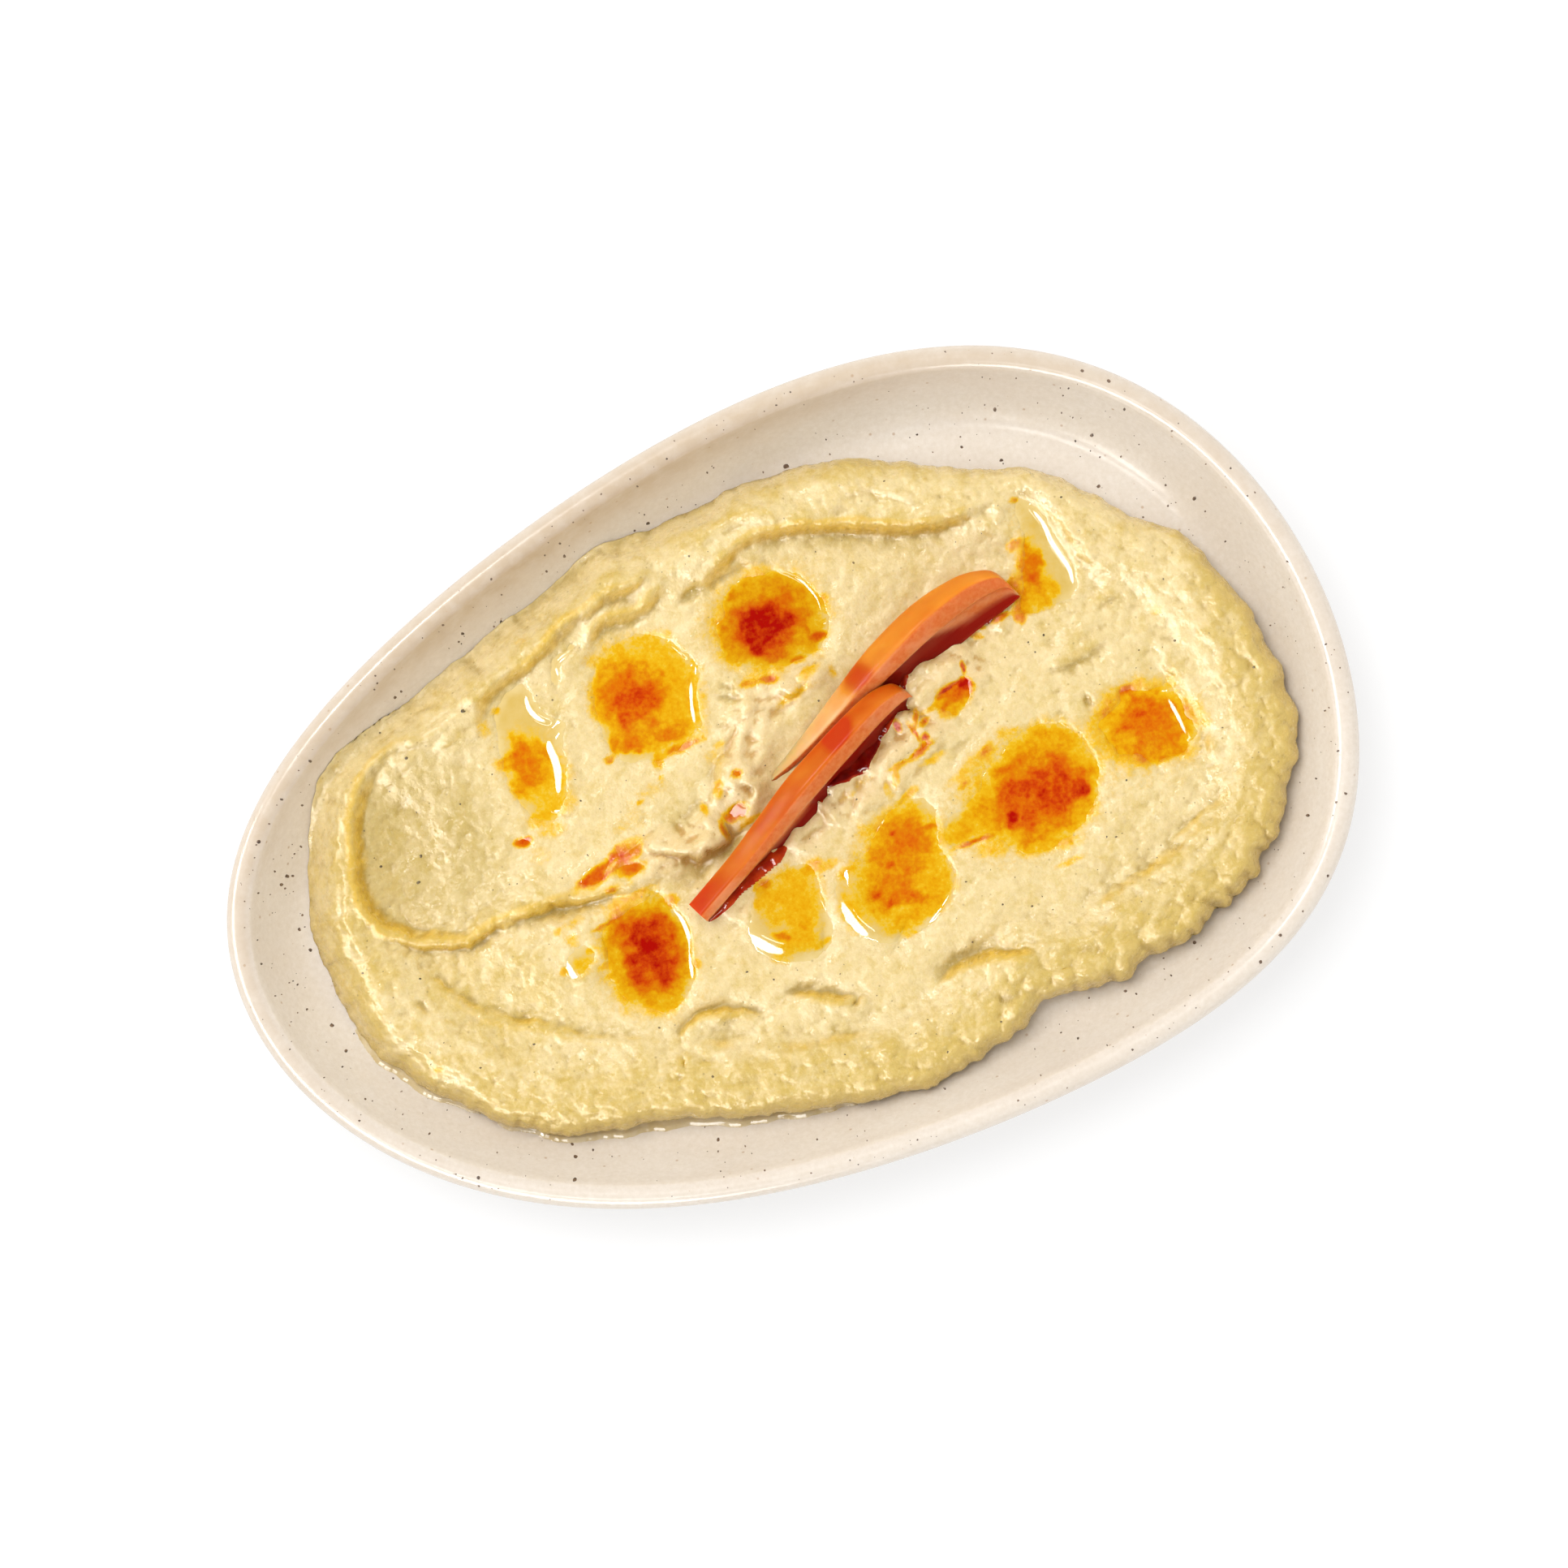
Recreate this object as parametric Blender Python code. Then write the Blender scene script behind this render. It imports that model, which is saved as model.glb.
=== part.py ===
"""Hummus spread in an egg-shaped stoneware dish, with two tomato wedges pushed into it.

The origin is the middle of the dish's box on the table, +X runs along the dish towards
its broad end, +Y across it and +Z up. Lengths are in millimetres until a mesh is made.
"""

import math

import bmesh
import bpy
import numpy as np
from mathutils import Vector

MM = 0.001
GAP = 0.35                      # clear space between two pieces that touch

# ---- the dish ----------------------------------------------------------------------
RIM_HEIGHT = 24.5
FLOOR_HEIGHT = 8.6              # inside, above the table
WALL = 5.2                      # thickness of the wall
WALL_RUN = 13.0                 # how far the wall slopes inwards, seen from above
WALL_SLOPE = math.radians(62)   # at the lip
WALL_CURVE = 2.5                # 1 is a straight wall, more sweeps into the floor
FOOT_INSET = 27.0               # foot ring's outer side, from the outline
FOOT_WIDTH = 5.0
FOOT_RECESS = 2.4               # height of the hollow inside the foot ring
DISH_SEGMENTS = 72
WALL_ROWS = 5
LIP_ROWS = 5
OUTER_ROWS = 3

# The outline is an egg: cosine and sine terms of the first three orders, in millimetres.
EGG_MIDDLE = (1.9, -4.8)
EGG_X = ((115.1, -0.1), (-2.0, 3.0), (-0.3, 0.7))
EGG_Y = ((0.0, 77.8), (-3.5, 4.9), (-3.4, 2.3))

# ---- the hummus --------------------------------------------------------------------
MARGIN = 14.5                   # from the dish's outline to the edge of the spread
# Where the edge wanders: angle along the outline, half-width of the stretch, change.
MARGIN_LOBES = (
    (36, 13, 7.4), (60, 15, 9.2), (102, 4, -2.5), (115, 16, -3.2), (140, 12, -7.0),
    (180, 14, 2.0), (225, 9, -1.0), (244, 7, 2.3), (272, 9, -2.8), (289, 5, 3.6),
    (302, 5, 1.2), (335, 22, -1.6), (354, 9, -2.8),
)
BASIN_HEIGHT = 15.3             # level of the middle of the spread
BORDER_RISE = 2.9               # the thicker border stands this much higher
BORDER_START = 8.5              # from here inwards the border slopes down
BORDER_END = 18.0               # to the level of the middle
EDGE_WIDTH = 4.5                # the edge rounds up to full height over this width
EDGE_START = 1.0                # thickness at the very edge
GRID_LONG = 64
GRID_ACROSS = 38
EDGE_CLUSTER = 1.35             # more than 1 packs the grid's rows towards the edge

THINNEST = 2.6                  # where the spread runs up the dish's wall

# Crests left by the spoon. Each is (path, rise, width on its left, width on its right,
# how far the surface falls away on its right), walking along the path.
CRESTS = (
    # crescent round the spoon's scoop at the narrow end, steep towards the scoop
    (((-68, -7.5), (-77, -6), (-84, -1), (-87, 8), (-85, 19), (-80, 29), (-71, 34), (-60, 32.5)),
     1.6, 6.0, 2.8, 1.8),
    # it runs on as the lip under the scoop, steep towards the lower border
    (((-87, 8), (-84, -1), (-77, -6), (-68, -7.5), (-56, -5.5), (-42, -7), (-27, -5.5)),
     1.6, 4.6, 2.7, 1.6),
    # inner side of the lower-left border
    (((-38, -40), (-50, -36), (-60, -30), (-72, -23), (-79, -13), (-84, -5)), 1.0, 4.5, 2.8, 0.9),
    # two long ridges at the upper left
    (((-54, 36), (-45, 39.5), (-36, 43), (-29, 46.5), (-20, 49), (-11, 50)), 1.8, 5.0, 2.8, 1.5),
    (((-29, 39), (-24, 43.5), (-17, 44), (-8, 46)), 1.1, 3.4, 2.8, 0.8),
    # main crest along the upper border, and a small one outside it
    (((-3, 44), (4, 48.5), (13, 50.5), (26, 48), (38, 43.5), (48, 41), (59, 42.5)), 1.8, 5.0, 2.8, 1.6),
    (((-3, 51), (8, 55), (21, 51.5)), 0.8, 2.8, 2.8, 0.4),
    # inner side of the border at the broad end
    (((62, 39), (68, 35), (71, 28), (73, 20)), 1.2, 4.5, 2.8, 1.0),
    (((81, 4), (82, -5), (84, -15), (85, -24)), 1.1, 4.0, 2.8, 0.8),
    # flap right of the wedges
    (((57, 6.5), (64, 7), (71, 8.5)), 1.3, 4.0, 2.8, 1.0),
    # folds in the lower border
    (((86, -33), (76, -36), (64, -40), (50, -43)), 0.8, 3.6, 2.4, 0.5),
    (((38, -48), (30, -45.8), (24, -44.8), (17, -47.5)), 1.1, 3.2, 2.8, 1.4),
    (((3, -45), (-4, -43), (-13, -39.5)), 1.0, 3.2, 2.8, 1.2),
    (((-18, -42), (-25, -38.6), (-31, -38.2), (-35, -40.5)), 1.1, 3.2, 2.8, 1.5),
)
# Hollows: middle, half-axes, turn in degrees, depth.
HOLLOWS = (
    ((-68, 13), (15.0, 19.5), 0, 1.4),       # the spoon's scoop, deepest at its far end
    ((-77, 13), (8.5, 17.0), -4, 2.2),
    ((-70, -17), (8.0, 13.0), 35, 1.2),      # trough under the scoop
    ((-44, 21), (9.0, 17.0), 0, 1.3),        # pools of oil from here on
    ((-20, 27), (12.0, 14.5), -10, 1.3),
    ((8.5, 33.5), (12.0, 11.0), 0, 1.5),
    ((62, 29), (10.0, 13.0), 0, 1.2),
    ((73.5, -11.5), (10.5, 9.0), -10, 1.4),
    ((46, -17), (18.0, 13.5), 10, 1.4),
    ((17, -22), (11.5, 15.5), -25, 1.3),
    ((-5, -23), (8.5, 11.0), 0, 1.2),
    ((-36, -21.5), (11.0, 14.5), -8, 1.4),
)
# Heaps pushed up beside the wedges: middle, half-axes, turn, rise.
HEAPS = (
    ((-19, -3.5), (8.0, 4.0), 10, 2.0),
    ((-8, 4), (7.0, 5.0), 35, 1.8),
    ((10, 17), (12.0, 5.0), 35, 1.2),
    ((36, 12), (8.0, 4.0), 20, 2.2),
    ((27, 2), (6.0, 5.0), 20, 1.6),
)

# ---- the tomato wedges -------------------------------------------------------------
# Each is a slice out of a tomato: a fan of radius `radius` round its core edge, from
# one cut face to the other. `low` is the slope of the lower cut face, `high` that of the
# upper one at the start and at the end, in degrees. `girth` gives how much of the radius
# the slice keeps, as (place along the core, share).
WEDGES = {
    "tomato_wedge_upper": dict(
        start=(-2, 1.4, 12.6), end=(57.6, 21.4, 16.2), radius=14.1, low=31, high=(74, 50),
        girth=((0, 0.26), (0.13, 0.32), (0.33, 0.61), (0.51, 0.87), (0.70, 1.0), (0.85, 0.94),
               (0.93, 0.80), (0.98, 0.58), (1, 0.12))),
    "tomato_wedge_lower": dict(
        start=(-22.0, -20.5, 13.6), end=(31.3, 8.3, 14.2), radius=13.2, low=46, high=(73, 66),
        girth=((0, 0.68), (0.2, 0.74), (0.35, 0.85), (0.5, 0.97), (0.62, 1.0), (0.8, 0.99),
               (0.91, 0.92), (0.98, 0.72), (1, 0.45))),
}
WEDGE_SECTIONS = 16
SKIN_STEPS = 4


# ---- shapes ------------------------------------------------------------------------
def ease(low, high, value):
    """0 below low, 1 above high and smooth between."""
    share = np.clip((np.asarray(value) - low) / (high - low), 0, 1)
    return share * share * (3 - 2 * share)


def egg(angle):
    """Points of the dish's outline at these angles (radians), as an array of x, y."""
    angle = np.asarray(angle, float)
    coordinates = []
    for middle, terms in zip(EGG_MIDDLE, (EGG_X, EGG_Y)):
        value = np.full(angle.shape, middle)
        for order, (cosine, sine) in enumerate(terms, start=1):
            value = value + cosine * np.cos(order * angle) + sine * np.sin(order * angle)
        coordinates.append(value)
    return np.stack(coordinates, axis=-1)


def inset_egg(angle, inset):
    """The outline moved inwards by inset, which may differ from point to point."""
    step = 1e-4
    along = egg(np.asarray(angle) + step) - egg(np.asarray(angle) - step)
    along /= np.linalg.norm(along, axis=-1, keepdims=True)
    inwards = np.stack([-along[..., 1], along[..., 0]], axis=-1)
    return egg(angle) + inwards * np.asarray(inset)[..., None]


def wall_top():
    """Inset and height of the inner wall's upper end, where the round lip begins."""
    lip = WALL / 2
    inset = lip * (1 + math.sin(WALL_SLOPE))
    height = RIM_HEIGHT - lip + lip * math.cos(WALL_SLOPE)
    return inset, height


def inner_height(inset):
    """Height of the dish's inner surface at this distance from its outline."""
    top_inset, top_height = wall_top()
    share = np.clip((np.asarray(inset, float) - top_inset) / WALL_RUN, 0, 1)
    return FLOOR_HEIGHT + (top_height - FLOOR_HEIGHT) * (1 - share) ** WALL_CURVE


def dish_rows():
    """(inset, height) of each row round the dish, from the floor over the lip to the foot."""
    top_inset, top_height = wall_top()
    drop = top_height - FLOOR_HEIGHT
    shares = [1 - (row / WALL_ROWS) for row in range(WALL_ROWS + 1)]
    inner = [(top_inset + WALL_RUN * share, float(inner_height(top_inset + WALL_RUN * share)))
             for share in shares]
    lip = WALL / 2
    rows = inner[:-1]
    for step in range(LIP_ROWS + 1):
        turn = math.pi / 2 - WALL_SLOPE + math.pi * step / LIP_ROWS
        rows.append((lip + lip * math.cos(turn), RIM_HEIGHT - lip + lip * math.sin(turn)))
    for row in range(1, OUTER_ROWS + 1):
        share = row / OUTER_ROWS
        slope = math.atan(WALL_CURVE * drop / WALL_RUN * (1 - share) ** (WALL_CURVE - 1))
        inset = top_inset + WALL_RUN * share
        rows.append((inset - WALL * math.sin(slope), float(inner_height(inset)) - WALL * math.cos(slope)))
    under = rows[-1][1]
    rows.append((FOOT_INSET, under))
    rows.append((FOOT_INSET + 0.8, 0.0))
    rows.append((FOOT_INSET + 0.8 + FOOT_WIDTH, 0.0))
    rows.append((FOOT_INSET + 1.6 + FOOT_WIDTH, FOOT_RECESS))
    return rows


def smooth_path(points, steps=4):
    """A Catmull-Rom curve through the points."""
    knots = [np.array(p, float) for p in points]
    knots = [2 * knots[0] - knots[1]] + knots + [2 * knots[-1] - knots[-2]]
    curve = []
    for a, b, c, d in zip(knots, knots[1:], knots[2:], knots[3:]):
        for step in range(steps):
            t = step / steps
            curve.append(0.5 * (2 * b + (c - a) * t + (2 * a - 5 * b + 4 * c - d) * t ** 2
                                + (3 * b - 3 * c + d - a) * t ** 3))
    curve.append(knots[-2])
    return np.array(curve)


def beside_path(points, path):
    """Signed distance from the path (positive on its left) and how far along it, 0 to 1."""
    curve = smooth_path(path)
    lengths = np.linalg.norm(np.diff(curve, axis=0), axis=1)
    reached = np.concatenate([[0], np.cumsum(lengths)]) / lengths.sum()
    nearest = np.full(len(points), np.inf)
    signed = np.zeros(len(points))
    share = np.zeros(len(points))
    for i, (a, b) in enumerate(zip(curve, curve[1:])):
        run = b - a
        t = np.clip((points - a) @ run / (run @ run), 0, 1)
        away = points - (a + t[:, None] * run)
        distance = np.linalg.norm(away, axis=1)
        side = np.sign(run[0] * away[:, 1] - run[1] * away[:, 0])
        closer = distance < nearest
        nearest[closer] = distance[closer]
        signed[closer] = (side * distance)[closer]
        share[closer] = (reached[i] + t * (reached[i + 1] - reached[i]))[closer]
    return signed, share


def crest(points, path, rise, left, right, fall):
    """Height that one crest adds: it fades at both ends and may fall away on its right."""
    signed, share = beside_path(points, path)
    fade = np.sin(np.pi * np.clip(share, 0, 1)) ** 0.5
    on_left = rise * np.exp(-(signed / left) ** 2)
    on_right = (rise + fall) * np.exp(-(signed / right) ** 2) - fall * np.exp(-(signed / (3 * right)) ** 2)
    return fade * np.where(signed > 0, on_left, on_right)


def blob(points, middle, half_axes, turn, height):
    """A smooth flat-topped rise, or a hollow where height is negative."""
    turn = math.radians(turn)
    away = points - np.array(middle)
    u = (away[:, 0] * math.cos(turn) + away[:, 1] * math.sin(turn)) / half_axes[0]
    v = (away[:, 1] * math.cos(turn) - away[:, 0] * math.sin(turn)) / half_axes[1]
    return height * np.exp(-(u ** 2 + v ** 2) ** 2)


def margin(angle):
    """How far the edge of the spread lies inside the dish's outline."""
    degrees = np.degrees(np.asarray(angle)) % 360
    value = np.full(degrees.shape, MARGIN)
    for middle, half_width, change in MARGIN_LOBES:
        off = (degrees - middle + 180) % 360 - 180
        value = value + change * np.exp(-(off / half_width) ** 2)
    return value


def distance_to(points, loop):
    """Distance from each point to a closed loop."""
    nearest = np.full(len(points), np.inf)
    for a, b in zip(loop, np.roll(loop, -1, axis=0)):
        run = b - a
        t = np.clip((points - a) @ run / (run @ run), 0, 1)
        nearest = np.minimum(nearest, np.linalg.norm(points - (a + t[:, None] * run), axis=1))
    return nearest


def outline_loop(inset, count=240):
    angle = np.linspace(0, 2 * np.pi, count, endpoint=False)
    return inset_egg(angle, inset(angle))


def under_hummus(points):
    """Height of the hummus's underside, which follows the dish."""
    from_rim = distance_to(points, outline_loop(lambda angle: np.zeros(angle.shape)))
    return inner_height(from_rim) + GAP


def hummus_top(points):
    """Height of the hummus's upper surface."""
    from_edge = distance_to(points, outline_loop(margin))
    under = under_hummus(points)
    height = BASIN_HEIGHT + BORDER_RISE * (1 - ease(BORDER_START, BORDER_END, from_edge))
    for path, rise, left, right, fall in CRESTS:
        height += crest(points, path, rise, left, right, fall)
    for middle, half_axes, turn, depth in HOLLOWS:
        height += blob(points, middle, half_axes, turn, -depth)
    for middle, half_axes, turn, rise in HEAPS:
        height += blob(points, middle, half_axes, turn, rise)
    spare = height - under - THINNEST
    height = under + THINNEST + (spare + np.sqrt(spare ** 2 + 1)) / 2
    share = np.clip(from_edge / EDGE_WIDTH, 0, 1)
    rounded = np.sqrt(1 - (1 - share) ** 2)
    return under + EDGE_START + (height - under - EDGE_START) * rounded


# ---- meshes ------------------------------------------------------------------------
def material(name, colour, roughness):
    made = bpy.data.materials.new(name)
    made.use_nodes = True
    shader = made.node_tree.nodes["Principled BSDF"]
    shader.inputs["Base Color"].default_value = (*colour, 1)
    shader.inputs["Roughness"].default_value = roughness
    return made


def add_object(name, mesh_builder, finish):
    """A named object from a bmesh in millimetres, with its faces pointing out."""
    bmesh.ops.recalc_face_normals(mesh_builder, faces=mesh_builder.faces)
    bmesh.ops.scale(mesh_builder, vec=Vector((MM, MM, MM)), verts=mesh_builder.verts)
    mesh = bpy.data.meshes.new(name)
    mesh_builder.to_mesh(mesh)
    mesh_builder.free()
    mesh.materials.append(finish)
    mesh.shade_smooth()
    made = bpy.data.objects.new(name, mesh)
    bpy.context.scene.collection.objects.link(made)
    return made


def bridge(build, lower, upper):
    """Faces between two closed rows of the same length."""
    count = len(lower)
    for i in range(count):
        j = (i + 1) % count
        build.faces.new((lower[i], lower[j], upper[j], upper[i]))


def make_dish():
    angle = np.linspace(0, 2 * np.pi, DISH_SEGMENTS, endpoint=False)
    build = bmesh.new()
    loops = []
    for inset, height in dish_rows():
        ring = inset_egg(angle, np.full(angle.shape, inset))
        loops.append([build.verts.new((x, y, height)) for x, y in ring])
    for lower, upper in zip(loops, loops[1:]):
        bridge(build, lower, upper)
    build.faces.new(loops[0])
    build.faces.new(loops[-1])
    return add_object("dish", build, material("dish_glaze", (0.72, 0.62, 0.50), 0.35))


def spread_grid():
    """Rows of points over the spread: a square grid pressed into the outline."""
    a, b = np.meshgrid(np.linspace(-1, 1, GRID_LONG + 1), np.linspace(-1, 1, GRID_ACROSS + 1))
    u = a * np.sqrt(1 - b ** 2 / 2)
    v = b * np.sqrt(1 - a ** 2 / 2)
    reach = np.clip(np.hypot(u, v), 0, 1)
    angle = np.arctan2(v, u)
    edge = inset_egg(angle, margin(angle))
    middle = np.array(EGG_MIDDLE)
    reach = 1 - (1 - reach) ** EDGE_CLUSTER
    return middle + (edge - middle) * reach[..., None]


def grid_border(rows):
    """The grid's outermost items, once round."""
    return ([*rows[0][:-1]] + [row[-1] for row in rows[:-1]]
            + [*reversed(rows[-1][1:])] + [row[0] for row in reversed(rows[1:])])


def make_hummus():
    grid = spread_grid()
    flat = grid.reshape(-1, 2)
    heights = hummus_top(flat)
    build = bmesh.new()
    verts = [build.verts.new((x, y, z)) for (x, y), z in zip(flat, heights)]
    width = GRID_LONG + 1
    rows = [verts[start:start + width] for start in range(0, len(verts), width)]
    for row, above in zip(rows, rows[1:]):
        for i in range(GRID_LONG):
            build.faces.new((row[i], row[i + 1], above[i + 1], above[i]))
    top_border = grid_border(rows)
    edge = np.array([(v.co.x, v.co.y) for v in top_border])
    middle = np.array(EGG_MIDDLE)
    loop = top_border
    for share in (0.0, 0.07, 0.17):
        ring = edge + (middle - edge) * share
        under = under_hummus(ring)
        lower = [build.verts.new((x, y, z)) for (x, y), z in zip(ring, under)]
        bridge(build, loop, lower)
        loop = lower
    build.faces.new(loop)
    return add_object("hummus", build, material("hummus_paste", (0.85, 0.68, 0.36), 0.55))


def wedge_frame(start, end):
    """Where the core edge runs, and the level direction across it, to its left."""
    start, end = Vector(start), Vector(end)
    across = Vector((start.y - end.y, end.x - start.x, 0)).normalized()
    return start, end, across


def make_wedge(name, finish, start, end, radius, low, high, girth, grow=0.0):
    """A wedge as rows of sections between two ends; grow widens it all round."""
    start, end, across = wedge_frame(start, end)
    along = (end - start).normalized()
    up = Vector((0, 0, 1))
    kept = smooth_path(girth)
    build = bmesh.new()
    loops = []
    for section in range(WEDGE_SECTIONS + 1):
        share = 0.5 - 0.5 * math.cos(math.pi * section / WEDGE_SECTIONS)
        lower = math.radians(low)
        upper = math.radians(high[0] + (high[1] - high[0]) * share)
        push = grow / math.sin((upper - lower) / 2)
        bisector = (lower + upper) / 2
        inwards = across * math.cos(bisector) + up * math.sin(bisector)
        core = start.lerp(end, share) - inwards * push
        core += along * grow * (2 * share - 1)
        reach = radius * float(np.interp(share, kept[:, 0], kept[:, 1])) + push + grow
        ring = [build.verts.new(core)]
        for step in range(SKIN_STEPS + 1):
            slope = lower + (upper - lower) * step / SKIN_STEPS
            ring.append(build.verts.new(core + reach * (across * math.cos(slope) + up * math.sin(slope))))
        loops.append(ring)
    for before, after in zip(loops, loops[1:]):
        bridge(build, before, after)
    build.faces.new(loops[0])
    build.faces.new(loops[-1])
    return add_object(name, build, finish)


def cut_for_wedges(hummus):
    """Leaves room in the hummus for the wedges, with a small gap round them."""
    for name, sizes in WEDGES.items():
        cutter = make_wedge(f"room_for_{name}", hummus.data.materials[0], grow=GAP, **sizes)
        cutter.hide_render = True
        cutter.display_type = "WIRE"
        cut = hummus.modifiers.new(cutter.name, "BOOLEAN")
        cut.operation = "DIFFERENCE"
        cut.solver = "EXACT"
        cut.object = cutter


def main():
    for old in list(bpy.data.objects):
        bpy.data.objects.remove(old)
    make_dish()
    hummus = make_hummus()
    tomato = material("tomato_flesh", (0.75, 0.17, 0.05), 0.3)
    for name, sizes in WEDGES.items():
        make_wedge(name, tomato, **sizes)
    cut_for_wedges(hummus)


main()
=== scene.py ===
"""Looks for the hummus in its egg-shaped stoneware dish, with tomato wedges and paprika oil.

Lengths are in millimetres until a mesh is made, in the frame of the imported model: the
origin is under the middle of the dish, +X towards its broad end, +Z up.
"""

import math

import bpy
import numpy as np
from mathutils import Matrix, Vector


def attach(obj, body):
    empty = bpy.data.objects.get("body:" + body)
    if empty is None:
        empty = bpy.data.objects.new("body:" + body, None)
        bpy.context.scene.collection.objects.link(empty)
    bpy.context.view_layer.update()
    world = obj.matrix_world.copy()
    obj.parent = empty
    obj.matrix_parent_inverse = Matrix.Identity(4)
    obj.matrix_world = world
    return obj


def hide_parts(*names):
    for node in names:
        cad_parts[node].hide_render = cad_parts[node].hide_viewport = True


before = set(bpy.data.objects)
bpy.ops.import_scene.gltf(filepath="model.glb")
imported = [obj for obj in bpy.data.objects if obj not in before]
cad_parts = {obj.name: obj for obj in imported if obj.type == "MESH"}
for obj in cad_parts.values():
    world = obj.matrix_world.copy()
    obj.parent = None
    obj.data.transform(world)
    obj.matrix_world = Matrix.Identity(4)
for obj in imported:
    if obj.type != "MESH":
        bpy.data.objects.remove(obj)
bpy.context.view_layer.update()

MM = 0.001
TAU = 2 * math.pi


# ---- numbers shared with the solids --------------------------------------------------
GAP = 0.35  # between the hummus and the dish
RIM_HEIGHT = 24.5
FLOOR_HEIGHT = 8.6
WALL = 5.2  # thickness of the dish
LIP = WALL / 2  # radius of its round lip
WALL_RUN = 13.0
WALL_SLOPE = math.radians(62)
WALL_CURVE = 2.5
FOOT_INSET = 27.0
FOOT_WIDTH = 5.0
FOOT_RECESS = 2.4

EGG_MIDDLE = (1.9, -4.8)
EGG_X = ((115.1, -0.1), (-2.0, 3.0), (-0.3, 0.7))
EGG_Y = ((0.0, 77.8), (-3.5, 4.9), (-3.4, 2.3))
DISH_STRETCH = 1.5  # length of the dish over its width
RIM_POINTS = 240
EDGE_POINTS = 900

# How far the spread's edge lies inside the dish's: the usual distance, then for an angle
# and half-width in degrees how much more.
MARGIN = 14.5
MARGIN_LOBES = (
    (36, 13, 7.4), (60, 15, 9.2), (102, 4, -2.5), (115, 16, -3.2), (140, 12, -7.0),
    (180, 14, 2.0), (225, 9, -1.0), (244, 7, 2.3), (272, 9, -2.8), (289, 5, 3.6),
    (302, 5, 1.2), (335, 22, -1.6), (354, 9, -2.8),
)
BASIN_HEIGHT = 15.3
BORDER_RISE = 2.9
BORDER_START = 8.5
BORDER_END = 18.0
EDGE_WIDTH = 4.5
EDGE_START = 1.0
THINNEST = 2.6

# ---- dish ----------------------------------------------------------------------------
DISH_SIDES = 300
WALL_STEPS = 22
LIP_STEPS = 24
OUTER_STEPS = 12
FOOT_STEPS = 4
FOOT_ROUND = 0.6
LIP_DARKEST = 108  # azimuth of the darkest part of the lip, where its painted shade is strongest, in degrees

# ---- relief of the spread ------------------------------------------------------------
# How far its features stray from their lines: size of the noise and its seeds.
SLOW_WANDER = (9, (21, 22))
# Crests left by the spoon: path, rise, width on the left, width on the right, and how
# far the surface falls away on the right, walking along the path.
CRESTS = (
    # the scoop at the narrow end and the lip under it
    (((-66, -7), (-72, -7), (-77.5, -5.4), (-83, -1.5), (-86, 4), (-86.8, 10), (-85, 18), (-82.5, 24.5),
      (-77, 31.2), (-70.5, 33.8), (-61, 33)), 1.7, 5.0, 1.15, 2.0),
    (((-87, 8), (-84.4, 0.4), (-80, -4), (-76, -6), (-69, -7.3), (-62, -6.2), (-56, -6), (-49, -6),
      (-42, -7.5), (-34, -7), (-26, -5.5)), 1.7, 4.0, 1.0, 1.7),
    # inner side of the lower-left border
    (((-38, -40), (-50, -36), (-60, -30), (-72, -23), (-79, -13), (-84, -5)), 1.0, 4.5, 1.5, 1.0),
    # two long ridges at the upper left
    (((-54, 36), (-45, 39.5), (-36, 43), (-29, 46.5), (-20, 49), (-11, 50)), 1.8, 5.0, 1.3, 1.7),
    (((-28, 40), (-24, 44), (-17, 44), (-9, 47)), 1.4, 2.6, 1.2, 1.3),
    # upper border
    (((-3, 44), (4, 48.5), (13, 50.5), (26, 48), (38, 43.5), (48, 41), (59, 42.5)), 1.8, 5.0, 1.4, 1.7),
    (((-3, 51), (8, 55), (21, 51.5)), 0.9, 2.2, 1.4, 0.6),
    (((26, 50), (31, 53), (40, 50), (46, 46.5)), 0.6, 2.0, 1.2, 0.5),
    # border at the broad end
    (((62, 39), (68, 35), (71, 28), (73, 20)), 1.2, 4.5, 1.4, 1.0),
    (((81, 4), (82, -5), (84, -15), (85, -24)), 1.1, 4.0, 1.3, 0.8),
    (((57, 6.5), (64, 7), (71, 8.5)), 0.8, 3.4, 0.9, 0.8),
    (((70, 15), (74, 16.2), (78, 16.4)), 0.5, 1.6, 0.9, 0.4),
    # lower border
    (((86, -33), (76, -36), (64, -40), (50, -43)), 0.8, 3.6, 1.6, 0.6),
    (((85, -30), (77, -33), (70, -36)), 0.5, 1.8, 1.0, 0.4),
    (((38, -48), (30, -45.8), (24, -44.8), (17, -47.5)), 1.2, 3.0, 0.9, 1.8),
    (((3, -45), (-4, -43), (-13, -39.5)), 1.1, 3.0, 0.8, 1.8),
    (((-18, -42), (-25, -38.6), (-31, -38.2), (-35, -40.5)), 1.3, 3.0, 0.8, 2.1),
    (((-35, -41), (-30, -44.6), (-26, -47.5)), 0.5, 1.6, 1.0, 0.3),
    (((6, -55), (0, -53), (-8, -51.4), (-20, -50)), 0.4, 2.0, 1.2, 0.4),
)
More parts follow.
